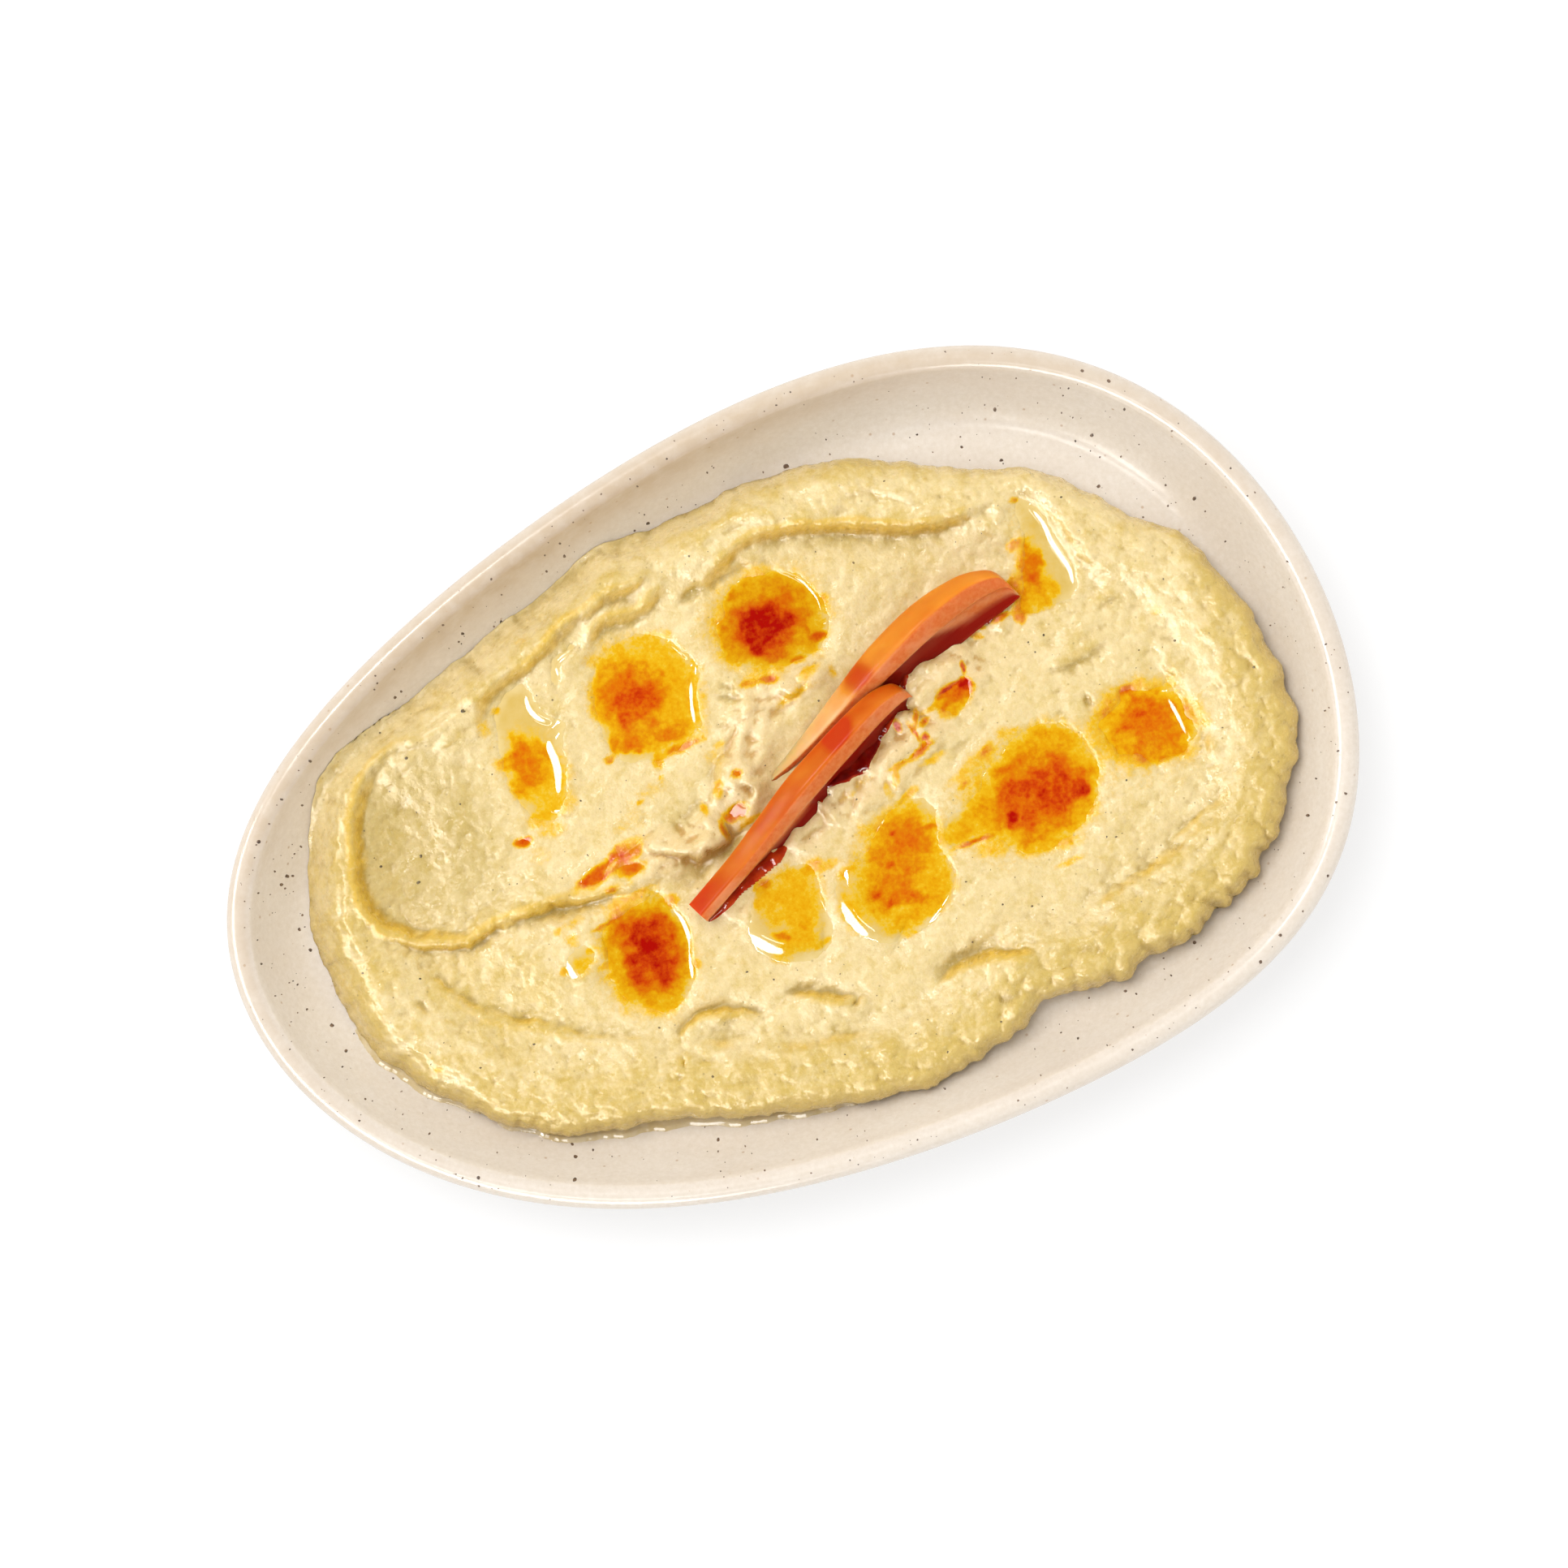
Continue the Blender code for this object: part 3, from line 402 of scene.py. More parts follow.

# ---- tomato wedges, as in the solids -------------------------------------------------
# Core line, radius, first and last turn of the slice in degrees (at its start and end),
# fullness along it, and where it is ripe, red and hollow; the cut face's dark towards the core, deepest along
# the hollow, is partly juice and partly painted shade.
WEDGE_SECTIONS = 150
FACE_STEPS = 16
SKIN_STEPS = 18
WEDGES = {
    "tomato_wedge_upper": dict(
        start=(-2, 1.4, 12.6), end=(57.6, 21.4, 16.2), radius=14.1, low=31, high=(74, 50),
        girth=((0, 0.26), (0.13, 0.32), (0.33, 0.61), (0.51, 0.87), (0.70, 1.0), (0.85, 0.94),
               (0.93, 0.80), (0.98, 0.58), (1, 0.12)),
        ripeness=0.2, red_patch=((21.5, 16.5), (3.2, 3.6)), hollow=(0.48, 0.72)),
    "tomato_wedge_lower": dict(
        start=(-22.0, -20.5, 13.6), end=(31.3, 8.3, 14.2), radius=13.2, low=46, high=(73, 66),
        girth=((0, 0.68), (0.2, 0.74), (0.35, 0.85), (0.5, 0.97), (0.62, 1.0), (0.8, 0.99),
               (0.91, 0.92), (0.98, 0.72), (1, 0.45)),
        ripeness=0.8, red_patch=((14, 7.4), (3.6, 2.4)), hollow=(0.55, 0.96)),
}

# ---- specks --------------------------------------------------------------------------
GLAZE_SPECK_COUNT = 430
GLAZE_SEED = 17
SPREAD_SPECK_COUNT = 234
SPREAD_SEED = 29
SPECK_CORNERS = 9
# The larger ones in the glaze: place and width.
GLAZE_SPECKS = (
    (22, 61.7, 1.4), (-65.3, 54.3, 0.9), (-101.3, 24.4, 1.0), (-99.5, 16.3, 0.9), (-98.5, 16, 0.6),
    (-101, 15, 0.8), (-100.7, 14.1, 0.6), (-101, 5.4, 0.8), (-100.3, 0.8, 0.9), (-86.5, 36.2, 0.7),
    (-67.2, 43, 0.8), (-65.6, 43.8, 0.6), (-95, 21, 0.6), (-101, -15, 1.1), (-99.8, -20.7, 0.8),
    (-88.8, -41.6, 0.6), (-81.8, -52.7, 0.9), (-82.3, -54.3, 0.6), (-73.2, -45.8, 0.8), (-70, -48.3, 0.7),
    (-67.7, -49.4, 0.9), (-63, -53.3, 0.8), (-63, -55.7, 0.9), (-64.1, -59.5, 0.9), (-59.4, -55.7, 0.6),
    (-42.3, 50.6, 0.9), (-44, 50.2, 0.5), (-50.2, 50.7, 0.8), (-40.8, 58.6, 0.6), (-25.9, 58.7, 0.9),
    (-30.3, 57.1, 0.6), (-8, 59.8, 0.9), (-11, 59.3, 0.6), (-35, -62, 0.9), (65.4, 58.7, 1.0),
    (56.8, 53.9, 0.8), (63.5, 48.8, 0.9), (82.2, 47.5, 1.0), (89, 49.7, 0.7), (87.6, 55.8, 0.9),
    (83.3, 59.5, 0.8), (80.3, 37.4, 0.9), (97.4, 28.7, 0.9), (99.3, 47, 0.9), (105.4, -36.7, 0.8),
    (97.8, -38.7, 0.8), (103, -46.2, 0.9), (96.8, -51, 0.7), (68.5, -55.7, 0.9), (52.2, -60.4, 0.8),
    (84, -59, 0.8), (78.6, -62.7, 0.9), (81.8, -62.8, 0.6),
)
# The larger ones on the spread: place, length, width, turn in degrees.
SPREAD_SPECKS = (
    (-55, 35.9, 1.1, 0.9, 0), (-81, 12, 0.9, 0.6, 30), (-72.8, 11.4, 0.8, 0.6, 60), (-75, 6.5, 0.9, 0.6, 10),
    (-68.8, 30.8, 0.8, 0.7, 0), (51, 49.5, 2.2, 0.8, -6), (-15, -2, 1.1, 0.9, 0), (-80.6, -11.8, 0.7, 0.5, 0),
    (-69.3, -32.6, 0.6, 0.5, 0), (-91, -7, 0.6, 0.5, 0), (-74.8, -32.5, 0.6, 0.4, 0),
    (-63.4, -31.6, 0.6, 0.5, 0), (-33, 43, 0.9, 0.5, 0), (-47.6, 35.2, 0.8, 0.5, 0),
    (43.3, 42.4, 0.6, 0.5, 0), (84, 3, 0.7, 0.5, 0), (61.9, -14.9, 0.6, 0.4, 0), (8.8, -3.6, 0.6, 0.5, 0),
    (13.6, -6.3, 0.6, 0.4, 0), (28.9, -29, 0.5, 0.3, 0), (12.8, 14.8, 0.5, 0.5, 0), (60.2, -30.3, 0.6, 0.3, 0),
    (-18.4, -31.8, 0.6, 0.4, 0), (71.7, 37.4, 0.7, 0.5, 0),
)

# ---- camera and light ----------------------------------------------------------------
CAMERA_PLACE = (0.82, 1.33, 900.0)
CAMERA_TURN = -19.0
CAMERA_LENS = 101.5
ROOM_LOW = 1.12
ROOM_OVERHEAD = 0.725
ROOM_MIRRORED = 0.02
FLOOR_GLOW = 0.572
LIGHT_DISTANCE = 1.5
# Name, azimuth, elevation, width, height, power and the rays that don't see it. Lamps
# hidden from glossy rays only light things, the others are only mirrored: a small glint
# on wet lumps, a strip over the rim at the near left, and the long window.
LIGHTS = (
    ("key_softbox", 118, 64, 0.9, 0.9, 15.6, "glossy"),
    ("fill_softbox_left", 245, 24, 1.2, 0.7, 1.8, "glossy"),
    ("fill_softbox_right", 318, 24, 1.2, 0.7, 2.0, "glossy"),
    ("glint_lamp", 124, 60, 0.24, 0.24, 6.0, "diffuse"),
    ("strip_mirrored", 230, 62, 0.60, 0.20, 3.2, "diffuse"),
    ("window_mirrored", 200, 38, 4.0, 0.42, 85.0, "diffuse"),
)


# ---- small mathematics ---------------------------------------------------------------
def random_share(i, j, seed):
    """A fixed pseudo-random number from 0 to 1 for each pair of whole numbers."""
    mask = np.uint64(0xFFFFFFFF)
    value = (np.asarray(i, np.int64).astype(np.uint64) * np.uint64(374761393)
             + np.asarray(j, np.int64).astype(np.uint64) * np.uint64(668265263)
             + np.uint64((seed * 2246822519) & 0xFFFFFFFF)) & mask
    value = ((value ^ (value >> np.uint64(13))) * np.uint64(1274126177)) & mask
    value = ((value ^ (value >> np.uint64(15))) * np.uint64(2654435761)) & mask
    value = value ^ (value >> np.uint64(16))
    return (value & mask).astype(float) / 2.0 ** 32


def swell(x, y, size, seed):
    """Gradient noise from about -1 to 1 with features about `size` across."""
    u, v = np.asarray(x) / size, np.asarray(y) / size
    i, j = np.floor(u), np.floor(v)
    fu, fv = u - i, v - j
    su, sv = fu ** 3 * (fu * (fu * 6 - 15) + 10), fv ** 3 * (fv * (fv * 6 - 15) + 10)

    def corner(di, dj):
        turn = TAU * random_share(i + di, j + dj, seed)
        return np.cos(turn) * (fu - di) + np.sin(turn) * (fv - dj)

    low = corner(0, 0) * (1 - su) + corner(1, 0) * su
    high = corner(0, 1) * (1 - su) + corner(1, 1) * su
    return 1.5 * (low * (1 - sv) + high * sv)


def layered(x, y, size, seed, layers=3):
    """Gradient noise with finer and finer layers."""
    total = 0.0
    for layer in range(layers):
        total = total + swell(x, y, size / 2 ** layer, seed + 7 * layer) / 2 ** layer
    return total


def wander(points, size, seeds, layers=3):
    """An uneven shift along x and y for each point."""
    return np.stack([layered(points[:, 0], points[:, 1], size, seed, layers) for seed in seeds], axis=-1)


def lumps(x, y, size, seed):
    """Round lumps of different widths, 0 between them and up to 1 on top."""
    u, v = np.asarray(x) / size, np.asarray(y) / size
    i, j = np.floor(u), np.floor(v)
    top = np.zeros(u.shape)
    for di in (-1, 0, 1):
        for dj in (-1, 0, 1):
            middle_u = i + di + random_share(i + di, j + dj, seed)
            middle_v = j + dj + random_share(i + di, j + dj, seed + 1)
            reach = 0.45 + 0.5 * random_share(i + di, j + dj, seed + 2)
            height = reach * np.clip(1 - ((u - middle_u) ** 2 + (v - middle_v) ** 2) / reach ** 2, 0, 1)
            top = np.maximum(top, height)
    return top


def ease(low, high, value):
    """0 below low, 1 above high and smooth between."""
    share = np.clip((np.asarray(value) - low) / (high - low), 0, 1)
    return share * share * (3 - 2 * share)


def fade_ends(share, power=0.5):
    """1 halfway along a path and 0 at both its ends."""
    return np.sin(np.pi * np.clip(share, 0, 1)) ** power


def smooth_path(points, steps=4, closed=False):
    """A Catmull-Rom curve through the points."""
    knots = [np.array(p, float) for p in points]
    if closed:
        knots = [knots[-1]] + knots + knots[:2]
    else:
        knots = [2 * knots[0] - knots[1]] + knots + [2 * knots[-1] - knots[-2]]
    curve = []
    for a, b, c, d in zip(knots, knots[1:], knots[2:], knots[3:]):
        for step in range(steps):
            t = step / steps
            curve.append(0.5 * (2 * b + (c - a) * t + (2 * a - 5 * b + 4 * c - d) * t ** 2
                                + (3 * b - 3 * c + d - a) * t ** 3))
    if not closed:
        curve.append(knots[-2])
    return np.array(curve)


def even_loop(points, count):
    """The closed curve through the points, as `count` points equally far apart."""
    curve = smooth_path(points, 6, closed=True)
    curve = np.vstack([curve, curve[:1]])
    reached = np.concatenate([[0], np.cumsum(np.linalg.norm(np.diff(curve, axis=0), axis=1))])
    wanted = np.linspace(0, reached[-1], count, endpoint=False)
    return np.stack([np.interp(wanted, reached, curve[:, k]) for k in (0, 1)], axis=-1)


def away_from_line(points, a, b):
    """How far along the line from a to b each point lies, 0 to 1, and its offset from there."""
    run = b - a
    t = np.clip((points - a) @ run / (run @ run), 0, 1)
    return t, points - (a + t[:, None] * run)


def beside_path(points, path):
    """Signed distance from the path (positive on its left) and how far along it, 0 to 1."""
    curve = smooth_path(path)
    lengths = np.linalg.norm(np.diff(curve, axis=0), axis=1)
    reached = np.concatenate([[0], np.cumsum(lengths)]) / lengths.sum()
    nearest = np.full(len(points), np.inf)
    signed = np.zeros(len(points))
    share = np.zeros(len(points))
    for i, (a, b) in enumerate(zip(curve, curve[1:])):
        t, away = away_from_line(points, a, b)
        distance = np.linalg.norm(away, axis=1)
        side = np.sign((b - a)[0] * away[:, 1] - (b - a)[1] * away[:, 0])
        closer = distance < nearest
        nearest[closer] = distance[closer]
        signed[closer] = (side * distance)[closer]
        share[closer] = (reached[i] + t * (reached[i + 1] - reached[i]))[closer]
    return signed, share


def near_path(points, path, room):
    """True for the points within `room` of the box round a path."""
    knots = np.array(path, float)
    return np.all((points > knots.min(0) - room) & (points < knots.max(0) + room), axis=1)


def crest(points, path, rise, left, right, fall):
    """Height that one crest adds: it fades at both ends and may fall away on its right."""
    height = np.zeros(len(points))
    close = near_path(points, path, 3 * max(left, right, 2))
    signed, share = beside_path(points[close], path)
    on_left = rise * np.exp(-(np.abs(signed) / left) ** 1.45)
    on_right = (rise + fall) * np.exp(-(signed / right) ** 2) - fall * np.exp(-(signed / (4 * right)) ** 2)
    height[close] = fade_ends(share) * np.where(signed > 0, on_left, on_right)
    return height


def crest_lines(points, features):
    """How near each point is to the sharp line on top of a crest, 0 to 1."""
    nearness = np.zeros(len(points))
    for path, rise, *_ in features:
        close = near_path(points, path, 3)
        signed, share = beside_path(points[close], path)
        line = min(1.0, rise / 1.6) * fade_ends(share) * np.exp(-((signed - 0.35) / 0.85) ** 2)
        nearness[close] = np.maximum(nearness[close], line)
    return nearness


def blob(points, middle, half_axes, turn, height):
    """A smooth flat-topped rise, or a hollow where height is negative."""
    turn = math.radians(turn)
    away = points - np.array(middle)
    u = (away[:, 0] * math.cos(turn) + away[:, 1] * math.sin(turn)) / half_axes[0]
    v = (away[:, 1] * math.cos(turn) - away[:, 0] * math.sin(turn)) / half_axes[1]
    return height * np.exp(-np.minimum(u ** 2 + v ** 2, 9) ** 2.0)


def loop_sides(loop):
    """Both ends of each side of a closed loop."""
    return zip(loop, np.roll(loop, -1, axis=0))


def distance_to(points, loop):
    """Distance from each point to a closed loop."""
    nearest = np.full(len(points), np.inf)
    for a, b in loop_sides(loop):
        away = away_from_line(points, a, b)[1]
        nearest = np.minimum(nearest, np.sum(away ** 2, axis=1))
    return np.sqrt(nearest)


def outside_by(points, loop):
    """Distance outside a closed loop, negative inside it."""
    inside = np.zeros(len(points), bool)
    for a, b in loop_sides(loop):
        crosses = (a[1] > points[:, 1]) != (b[1] > points[:, 1])
        with np.errstate(divide="ignore", invalid="ignore"):
            where = a[0] + (points[:, 1] - a[1]) * (b[0] - a[0]) / (b[1] - a[1])
        inside ^= crosses & (points[:, 0] < where)
    distance = distance_to(points, loop)
    return np.where(inside, -distance, distance)


def fitted_plane(points, heights, middle):
    """Height over `middle` and slopes along x and y of the plane nearest to these points."""
    terms = np.column_stack([np.ones(len(points)), points - middle])
    return np.linalg.lstsq(terms, heights, rcond=None)[0]


# ---- shape of the dish and of the spread ---------------------------------------------
def around(count):
    """This many angles round the dish, in radians."""
    return np.linspace(0, TAU, count, endpoint=False)


def egg(angle):
    """Points of the dish's outline at these angles, as an array of x, y."""
    angle = np.asarray(angle, float)
    coordinates = []
    for middle, terms in zip(EGG_MIDDLE, (EGG_X, EGG_Y)):
        value = np.full(angle.shape, middle)
        for order, (cosine, sine) in enumerate(terms, start=1):
            value = value + cosine * np.cos(order * angle) + sine * np.sin(order * angle)
        coordinates.append(value)
    return np.stack(coordinates, axis=-1)


def inset_egg(angle, inset):
    """The outline moved inwards by inset, which may differ from point to point."""
    step = 1e-4
    along = egg(np.asarray(angle) + step) - egg(np.asarray(angle) - step)
    along /= np.linalg.norm(along, axis=-1, keepdims=True)
    inwards = np.stack([-along[..., 1], along[..., 0]], axis=-1)
    return egg(angle) + inwards * np.asarray(inset)[..., None]


def wall_top():
    """Inset and height of the inner wall's upper end, where the round lip begins."""
    return LIP * (1 + math.sin(WALL_SLOPE)), RIM_HEIGHT - LIP + LIP * math.cos(WALL_SLOPE)


def inner_height(inset):
    """Height of the dish's inner surface at this distance from its outline."""
    top_inset, top_height = wall_top()
    share = np.clip((np.asarray(inset, float) - top_inset) / WALL_RUN, 0, 1)
    return FLOOR_HEIGHT + (top_height - FLOOR_HEIGHT) * (1 - share) ** WALL_CURVE


def lobe(degrees, middle, half_width):
    """1 at one angle round the dish, fading to 0 on both sides of it."""
    off = (degrees - middle + 180) % 360 - 180
    return np.exp(-(off / half_width) ** 2)


def margin(angle):
    """How far the edge of the spread lies inside the dish's outline."""
    angle = np.asarray(angle)
    degrees = np.degrees(angle) % 360
    value = np.full(degrees.shape, MARGIN)
    for middle, half_width, change in MARGIN_LOBES:
        value = value + change * lobe(degrees, middle, half_width)
    # small bays and knobs of the real edge, rougher along the lower right
    near_broad = lobe(degrees, 320, 62)
    x, y = 100 * np.cos(angle), 62 * np.sin(angle)
    bays = (0.55 + 0.4 * near_broad) * layered(x, y, 7.5, 11, 4)
    knobs = 1.5 * near_broad * (lumps(x, y, 4.6, 15) - 0.35)
    return value + bays - knobs


RIM = egg(around(RIM_POINTS))
EDGE = inset_egg(around(EDGE_POINTS), margin(around(EDGE_POINTS)))


def under_hummus(points):
    """Height of the hummus's underside, which follows the dish."""
    return inner_height(distance_to(points, RIM)) + GAP


def torn_share(points):
    """How torn the spread is: 1 beside the tomato wedges, 0 away from them."""
    torn = np.zeros(len(points))
    for path, reach, strength in TORN:
        close = near_path(points, path, 1.4 * reach)
        distance = np.abs(beside_path(points[close], path)[0])
        torn[close] = np.maximum(torn[close], strength * ease(1.3 * reach, 0.4 * reach, distance))
    return torn


def crumple(points):
    """Curls and crumbs of torn hummus, sharp on top."""
    x, y = points[:, 0], points[:, 1]
    x, y = x + 2.2 * swell(x, y, 7, 171), y + 2.2 * swell(x, y, 7, 172)
    curls = np.clip(1 - 2.2 * np.abs(swell(x, y, 8.5, 173)), -0.5, 1)
    crumbs = np.clip(1 - 2.0 * np.abs(swell(x, y, 4.0, 174)), -0.4, 1)
    return 1.45 * curls + 0.55 * crumbs + 0.40 * lumps(x, y, 2.8, 175) - 0.52


def facing_share(points, azimuth):
    """From 1 at the part of the border that faces this azimuth, in degrees, to -1 opposite."""
    away = (points - np.array(EGG_MIDDLE)) * np.array([1, DISH_STRETCH])
    turn = math.radians(azimuth)
    return (away @ np.array([math.cos(turn), math.sin(turn)])) / np.maximum(np.linalg.norm(away, axis=1), 1)


def natural_height(points):
    """Height of the spread's upper surface before the oil was poured on it."""
    x, y = points[:, 0], points[:, 1]
    from_edge = distance_to(points, EDGE)
    under = under_hummus(points)
    band = 1 - ease(BORDER_START, BORDER_END, from_edge)
    height = BASIN_HEIGHT + BORDER_RISE * band
    slow = wander(points, *SLOW_WANDER)
    ragged = wander(points, 2.6, (23, 24), 2)
    bent = points + 0.7 * slow + 0.32 * ragged
    for feature in CRESTS:
        height += crest(bent, *feature)
    for feature in TEARS:
        height += crest(points + 0.3 * slow + 0.3 * ragged, *feature)
    for dent in DENTS:
        height += blob(bent, *dent)
    height += torn_share(points) * crumple(points)
    # knobs along the near side, streaks and an uneven border all round
    near_side = np.clip(facing_share(points, 320), 0, 1)
    knobs = lumps(x + 0.8 * swell(x, y, 5, 37), y + 0.8 * swell(x, y, 5, 38), 4.8, 36)
    height += 1.5 * near_side * ease(11, 3, from_edge) * (knobs - 0.3)
    angle = np.arctan2((y - EGG_MIDDLE[1]) * DISH_STRETCH, x - EGG_MIDDLE[0])
    streaks = layered(angle * 9.0 + 0.03 * from_edge, from_edge / 2.6, 1.0, 31, 2)
    height += band * (0.34 * layered(x, y, 10, 32) + 0.34 * streaks)
    height += (1 - band) * 0.30 * layered(x * 0.8 + y * 0.6, (y * 0.8 - x * 0.6) * 2.2, 14, 33)
    spare = height - under - THINNEST
    height = under + THINNEST + (spare + np.sqrt(spare ** 2 + 1)) / 2
    # the edge is drawn out thin on the far side of the narrow end and steep elsewhere
    thin = ease(0.25, 0.85, facing_share(points, 142))
    share = np.clip(from_edge / (EDGE_WIDTH + 4.5 * thin), 0, 1)
    rounded = (1 - (1 - share) ** 2) ** (0.5 + 0.75 * thin)
    start = EDGE_START - 1.25 * thin
    return under + start + (height - under - start) * rounded


def pool_shores():
    """Each pool's shoreline as an even loop with small bays."""
    shores = {}
    for number, (name, pool) in enumerate(POOLS.items()):
        loop = even_loop(pool["shore"], SHORE_POINTS)
        shores[name] = loop + 0.45 * wander(loop, 2.6, (41 + number, 61 + number))
    return shores


def pool_levels(shores):
    """Each pool's surface as a plane: its middle, the height there, slopes along x and y."""
    levels = {}
    for name, loop in shores.items():
        middle = loop.mean(0)
        level, slope_x, slope_y = fitted_plane(loop, natural_height(loop), middle)
        # a pool leans half as much as its shore does
        levels[name] = (middle, level - POOL_DROP * POOLS[name]["drop"], 0.5 * slope_x, 0.5 * slope_y)
    return levels


def oil_height(points, beyond, plane):
    """Height of a pool's surface at points this far outside its shore (negative inside)."""
    x, y = points[:, 0], points[:, 1]
    middle, level, slope_x, slope_y = plane
    height = level + (x - middle[0]) * slope_x + (y - middle[1]) * slope_y
    height = height + 0.08 * np.exp(-np.clip(-beyond, 0, None) / 1.0)
    for path, line in RIMS:
        close = near_path(points, path, 7)
        signed, share = beside_path(points[close], path)
        # a step this broad and high mirrors the window over the width of the line
        broad = line / MIRRORED_SHARE
        uneven = 1.0 + 0.0017 * x[close] + 0.10 * swell(x[close], y[close], 3.5, 201)
        rise = RIM_STEEPNESS * broad * uneven
        past = np.clip(signed - broad / 2, 0, None)
        step = ease(-broad / 2, broad / 2, signed) * np.exp(-(past / 4) ** 2)
        height[close] += rise * fade_ends(share, 0.3) * step
    for feature in SWELLS:
        height += crest(points, *feature)
    return height + 0.02 * swell(x, y, 5, 202) - 0.8 * np.clip(beyond, 0, None)


def grain(points, smooth):
    """Chickpea grain on the spread, much fainter where the spoon smoothed it."""
    x, y = points[:, 0], points[:, 1]
    u, v = x + 0.5 * swell(x, y, 2.2, 71), y + 0.5 * swell(x, y, 2.2, 70)
    patchy = 0.45 + 0.75 * ease(-0.3, 0.6, swell(x, y, 8, 73))
    coarse = lumps(u, v, 3.3, 72) * patchy
    middle = lumps(u, v, 1.9, 76) * (0.5 + 0.6 * ease(-0.4, 0.5, swell(x, y, 5, 77)))
    fine = lumps(x, y, 1.15, 74)
    return (0.50 * coarse + 0.36 * middle + 0.12 * fine) * (1 - 0.80 * smooth) + 0.07 * layered(x, y, 4, 75)


def tone_at(points):
    """How strongly paprika colours each point; see PAPRIKA."""
    x, y = points[:, 0], points[:, 1]
    shift = wander(points, 4.6, (81, 91), 5)
    tone = np.zeros(len(points))
    for px, py, half_x, half_y, turn, strength in PAPRIKA:
        small = min(half_x, half_y)
        bent = points + 1.8 * shift * min(1.0, small / 4.0)
        cover = blob(bent, (px, py), (half_x, half_y), turn, 1.0)
        tone = tone * (1 - cover) + strength * cover
    # the powder clings together in clumps
    clumps = 0.10 * layered(x, y, 2.4, 95, 4) + 0.05 * (lumps(x, y, 1.3, 97) - 0.35)
    return tone + clumps * ease(0.22, 0.55, tone)


# ---- meshes --------------------------------------------------------------------------
def add_object(name, data):
    """A new object in the scene."""
    made = bpy.data.objects.new(name, data)
    bpy.context.scene.collection.objects.link(made)
    return made


def add_piece(name, points, faces, material, attributes=None):
    """A new smooth piece from points in millimetres and a list of faces, riding on the root body."""
    mesh = bpy.data.meshes.new(name)
    mesh.from_pydata([tuple(p) for p in np.asarray(points) * MM], [], faces)
    mesh.update()
    for key, values in (attributes or {}).items():
        layer = mesh.attributes.new(key, "FLOAT", "POINT")
        layer.data.foreach_set("value", np.asarray(values, np.float32))
    mesh.shade_smooth()
    mesh.materials.append(material)
    piece = add_object(name, mesh)
    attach(piece, "root")
    return piece


def ring_faces(first, second, count):
    """Quads between two closed rows that start at these indices."""
    return [(first + i, first + (i + 1) % count, second + (i + 1) % count, second + i) for i in range(count)]


def grid_quads(index):
    """The corners of each cell of a grid of points, from the points' indices."""
    return np.stack([index[:-1, :-1], index[:-1, 1:], index[1:, 1:], index[1:, :-1]], axis=-1)


# ---- materials -----------------------------------------------------------------------
class Nodes:
    """Short ways to add nodes to a tree."""

    def __init__(self, tree):
        self.tree = tree

    def put(self, socket, value):
        """Give an input a linked socket, a number, a vector or a colour."""
        if isinstance(value, bpy.types.NodeSocket):
            self.tree.links.new(value, socket)
        elif socket.type == "RGBA":
            socket.default_value = (*value, 1)
        else:
            socket.default_value = value

    def node(self, kind, output, inputs, **settings):
        """An output of a new node with these inputs."""
        made = self.tree.nodes.new("ShaderNode" + kind)
        for key, value in settings.items():
            setattr(made, key, value)
        for key, value in inputs.items():
            self.put(made.inputs[key], value)
        return made.outputs[output]


